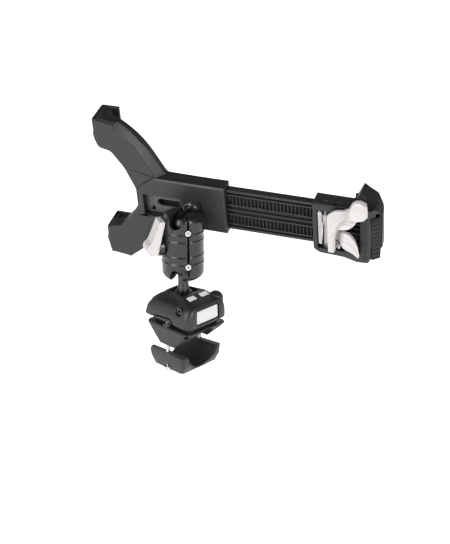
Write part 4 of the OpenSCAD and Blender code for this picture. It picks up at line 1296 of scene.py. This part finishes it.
    def build(self) -> None:
        """Builds every other piece of the carriage."""
        self.shop.round_all(self.edges)
        axes = self.shop.holder_axes()
        pin, pawl_pin = self.pin("drive_squeeze"), self.pin("pawl_lift")
        self.winder.wind("lever_spring", self.lever_coil, axes.moved(*pin, self.lever_coil_z))
        self.winder.wind("release_spring", self.lever_coil, axes.moved(*pin, self.release_coil_z))
        starts = [axes.moved(*pawl_pin, z) for z in self.pawl_coil_z]
        self.winder.wind("pawl_springs", self.pawl_coil, *starts)

    def thumb_lever(self) -> None:
        """Leg, arm and thumb plate in one moulding, with a scooped web under the arm."""
        form = SoftForm(self.shop, self.shop.holder_axes(), voxel=0.28, passes=10)
        x, y = self.pin("drive_squeeze")
        for low, high in self.ears:
            form.rod((x, y), self.hub, low, high)
            form.post(shifted(self.ear, x, y), low, high)
        form.slab(self.front, *self.front_depth)
        form.slab(self.fall, *self.fall_depth)
        form.slab(self.web, *self.web_depth)
        form.swell(self.thumb)
        form.bore((x, y, 0), (0, 0, 1), self.pin_bore)

        def depth(point: Vector) -> float:
            """The scoop in the web, the dish of the thumb plate and its crease."""
            if point.y > self.thumb_start:
                return self.scoop.at(point)
            crease = groove(point, self.crease, self.crease_half, self.crease_depth)
            return self.thumb_dish.at(point) + crease

        form.finish("thumb_lever", "drive_lever", depth)

    def release_horn(self) -> None:
        """Curved horn with a folded lower edge, on a hub behind the thumb lever."""
        form = SoftForm(self.shop, self.shop.holder_axes(), voxel=0.26, passes=8)
        x, y = self.pin("release_pull")
        low, high = self.hub_depth
        form.rod((x, y), self.hub, low, high)
        form.post(shifted(self.neck, x, y), low, high)
        form.post(shifted(self.tail, x, y), low + self.tail_inset, high - self.tail_inset)
        form.swell(self.horn)
        form.bore((x, y, 0), (0, 0, 1), self.pin_bore)

        def depth(point: Vector) -> float:
            """The fold along the horn and the hollow under it."""
            if point.y > self.horn_start:
                return 0.0
            return groove(point, self.fold, self.fold_half, self.fold_depth)

        form.finish("release_horn", "release_lever", depth)


def main() -> None:
    """Builds the scene."""
    logging.basicConfig(level=logging.INFO, format="%(name)s: %(message)s")
    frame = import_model()
    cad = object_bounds()
    studio = Studio()
    studio.camera()
    studio.light(cad[0].z)
    shop = Workshop(frame)
    winder = Winder(shop)
    arm, carriage = BallArm(shop, winder), Carriage(shop, winder)
    # The moulded forms come first, while the scene holds little else to evaluate at each step
    for part in (arm, carriage):
        part.mould()
    for part in (RailClamp(shop, winder), arm, Holder(shop), carriage):
        part.build()


if __name__ == "__main__":
    main()
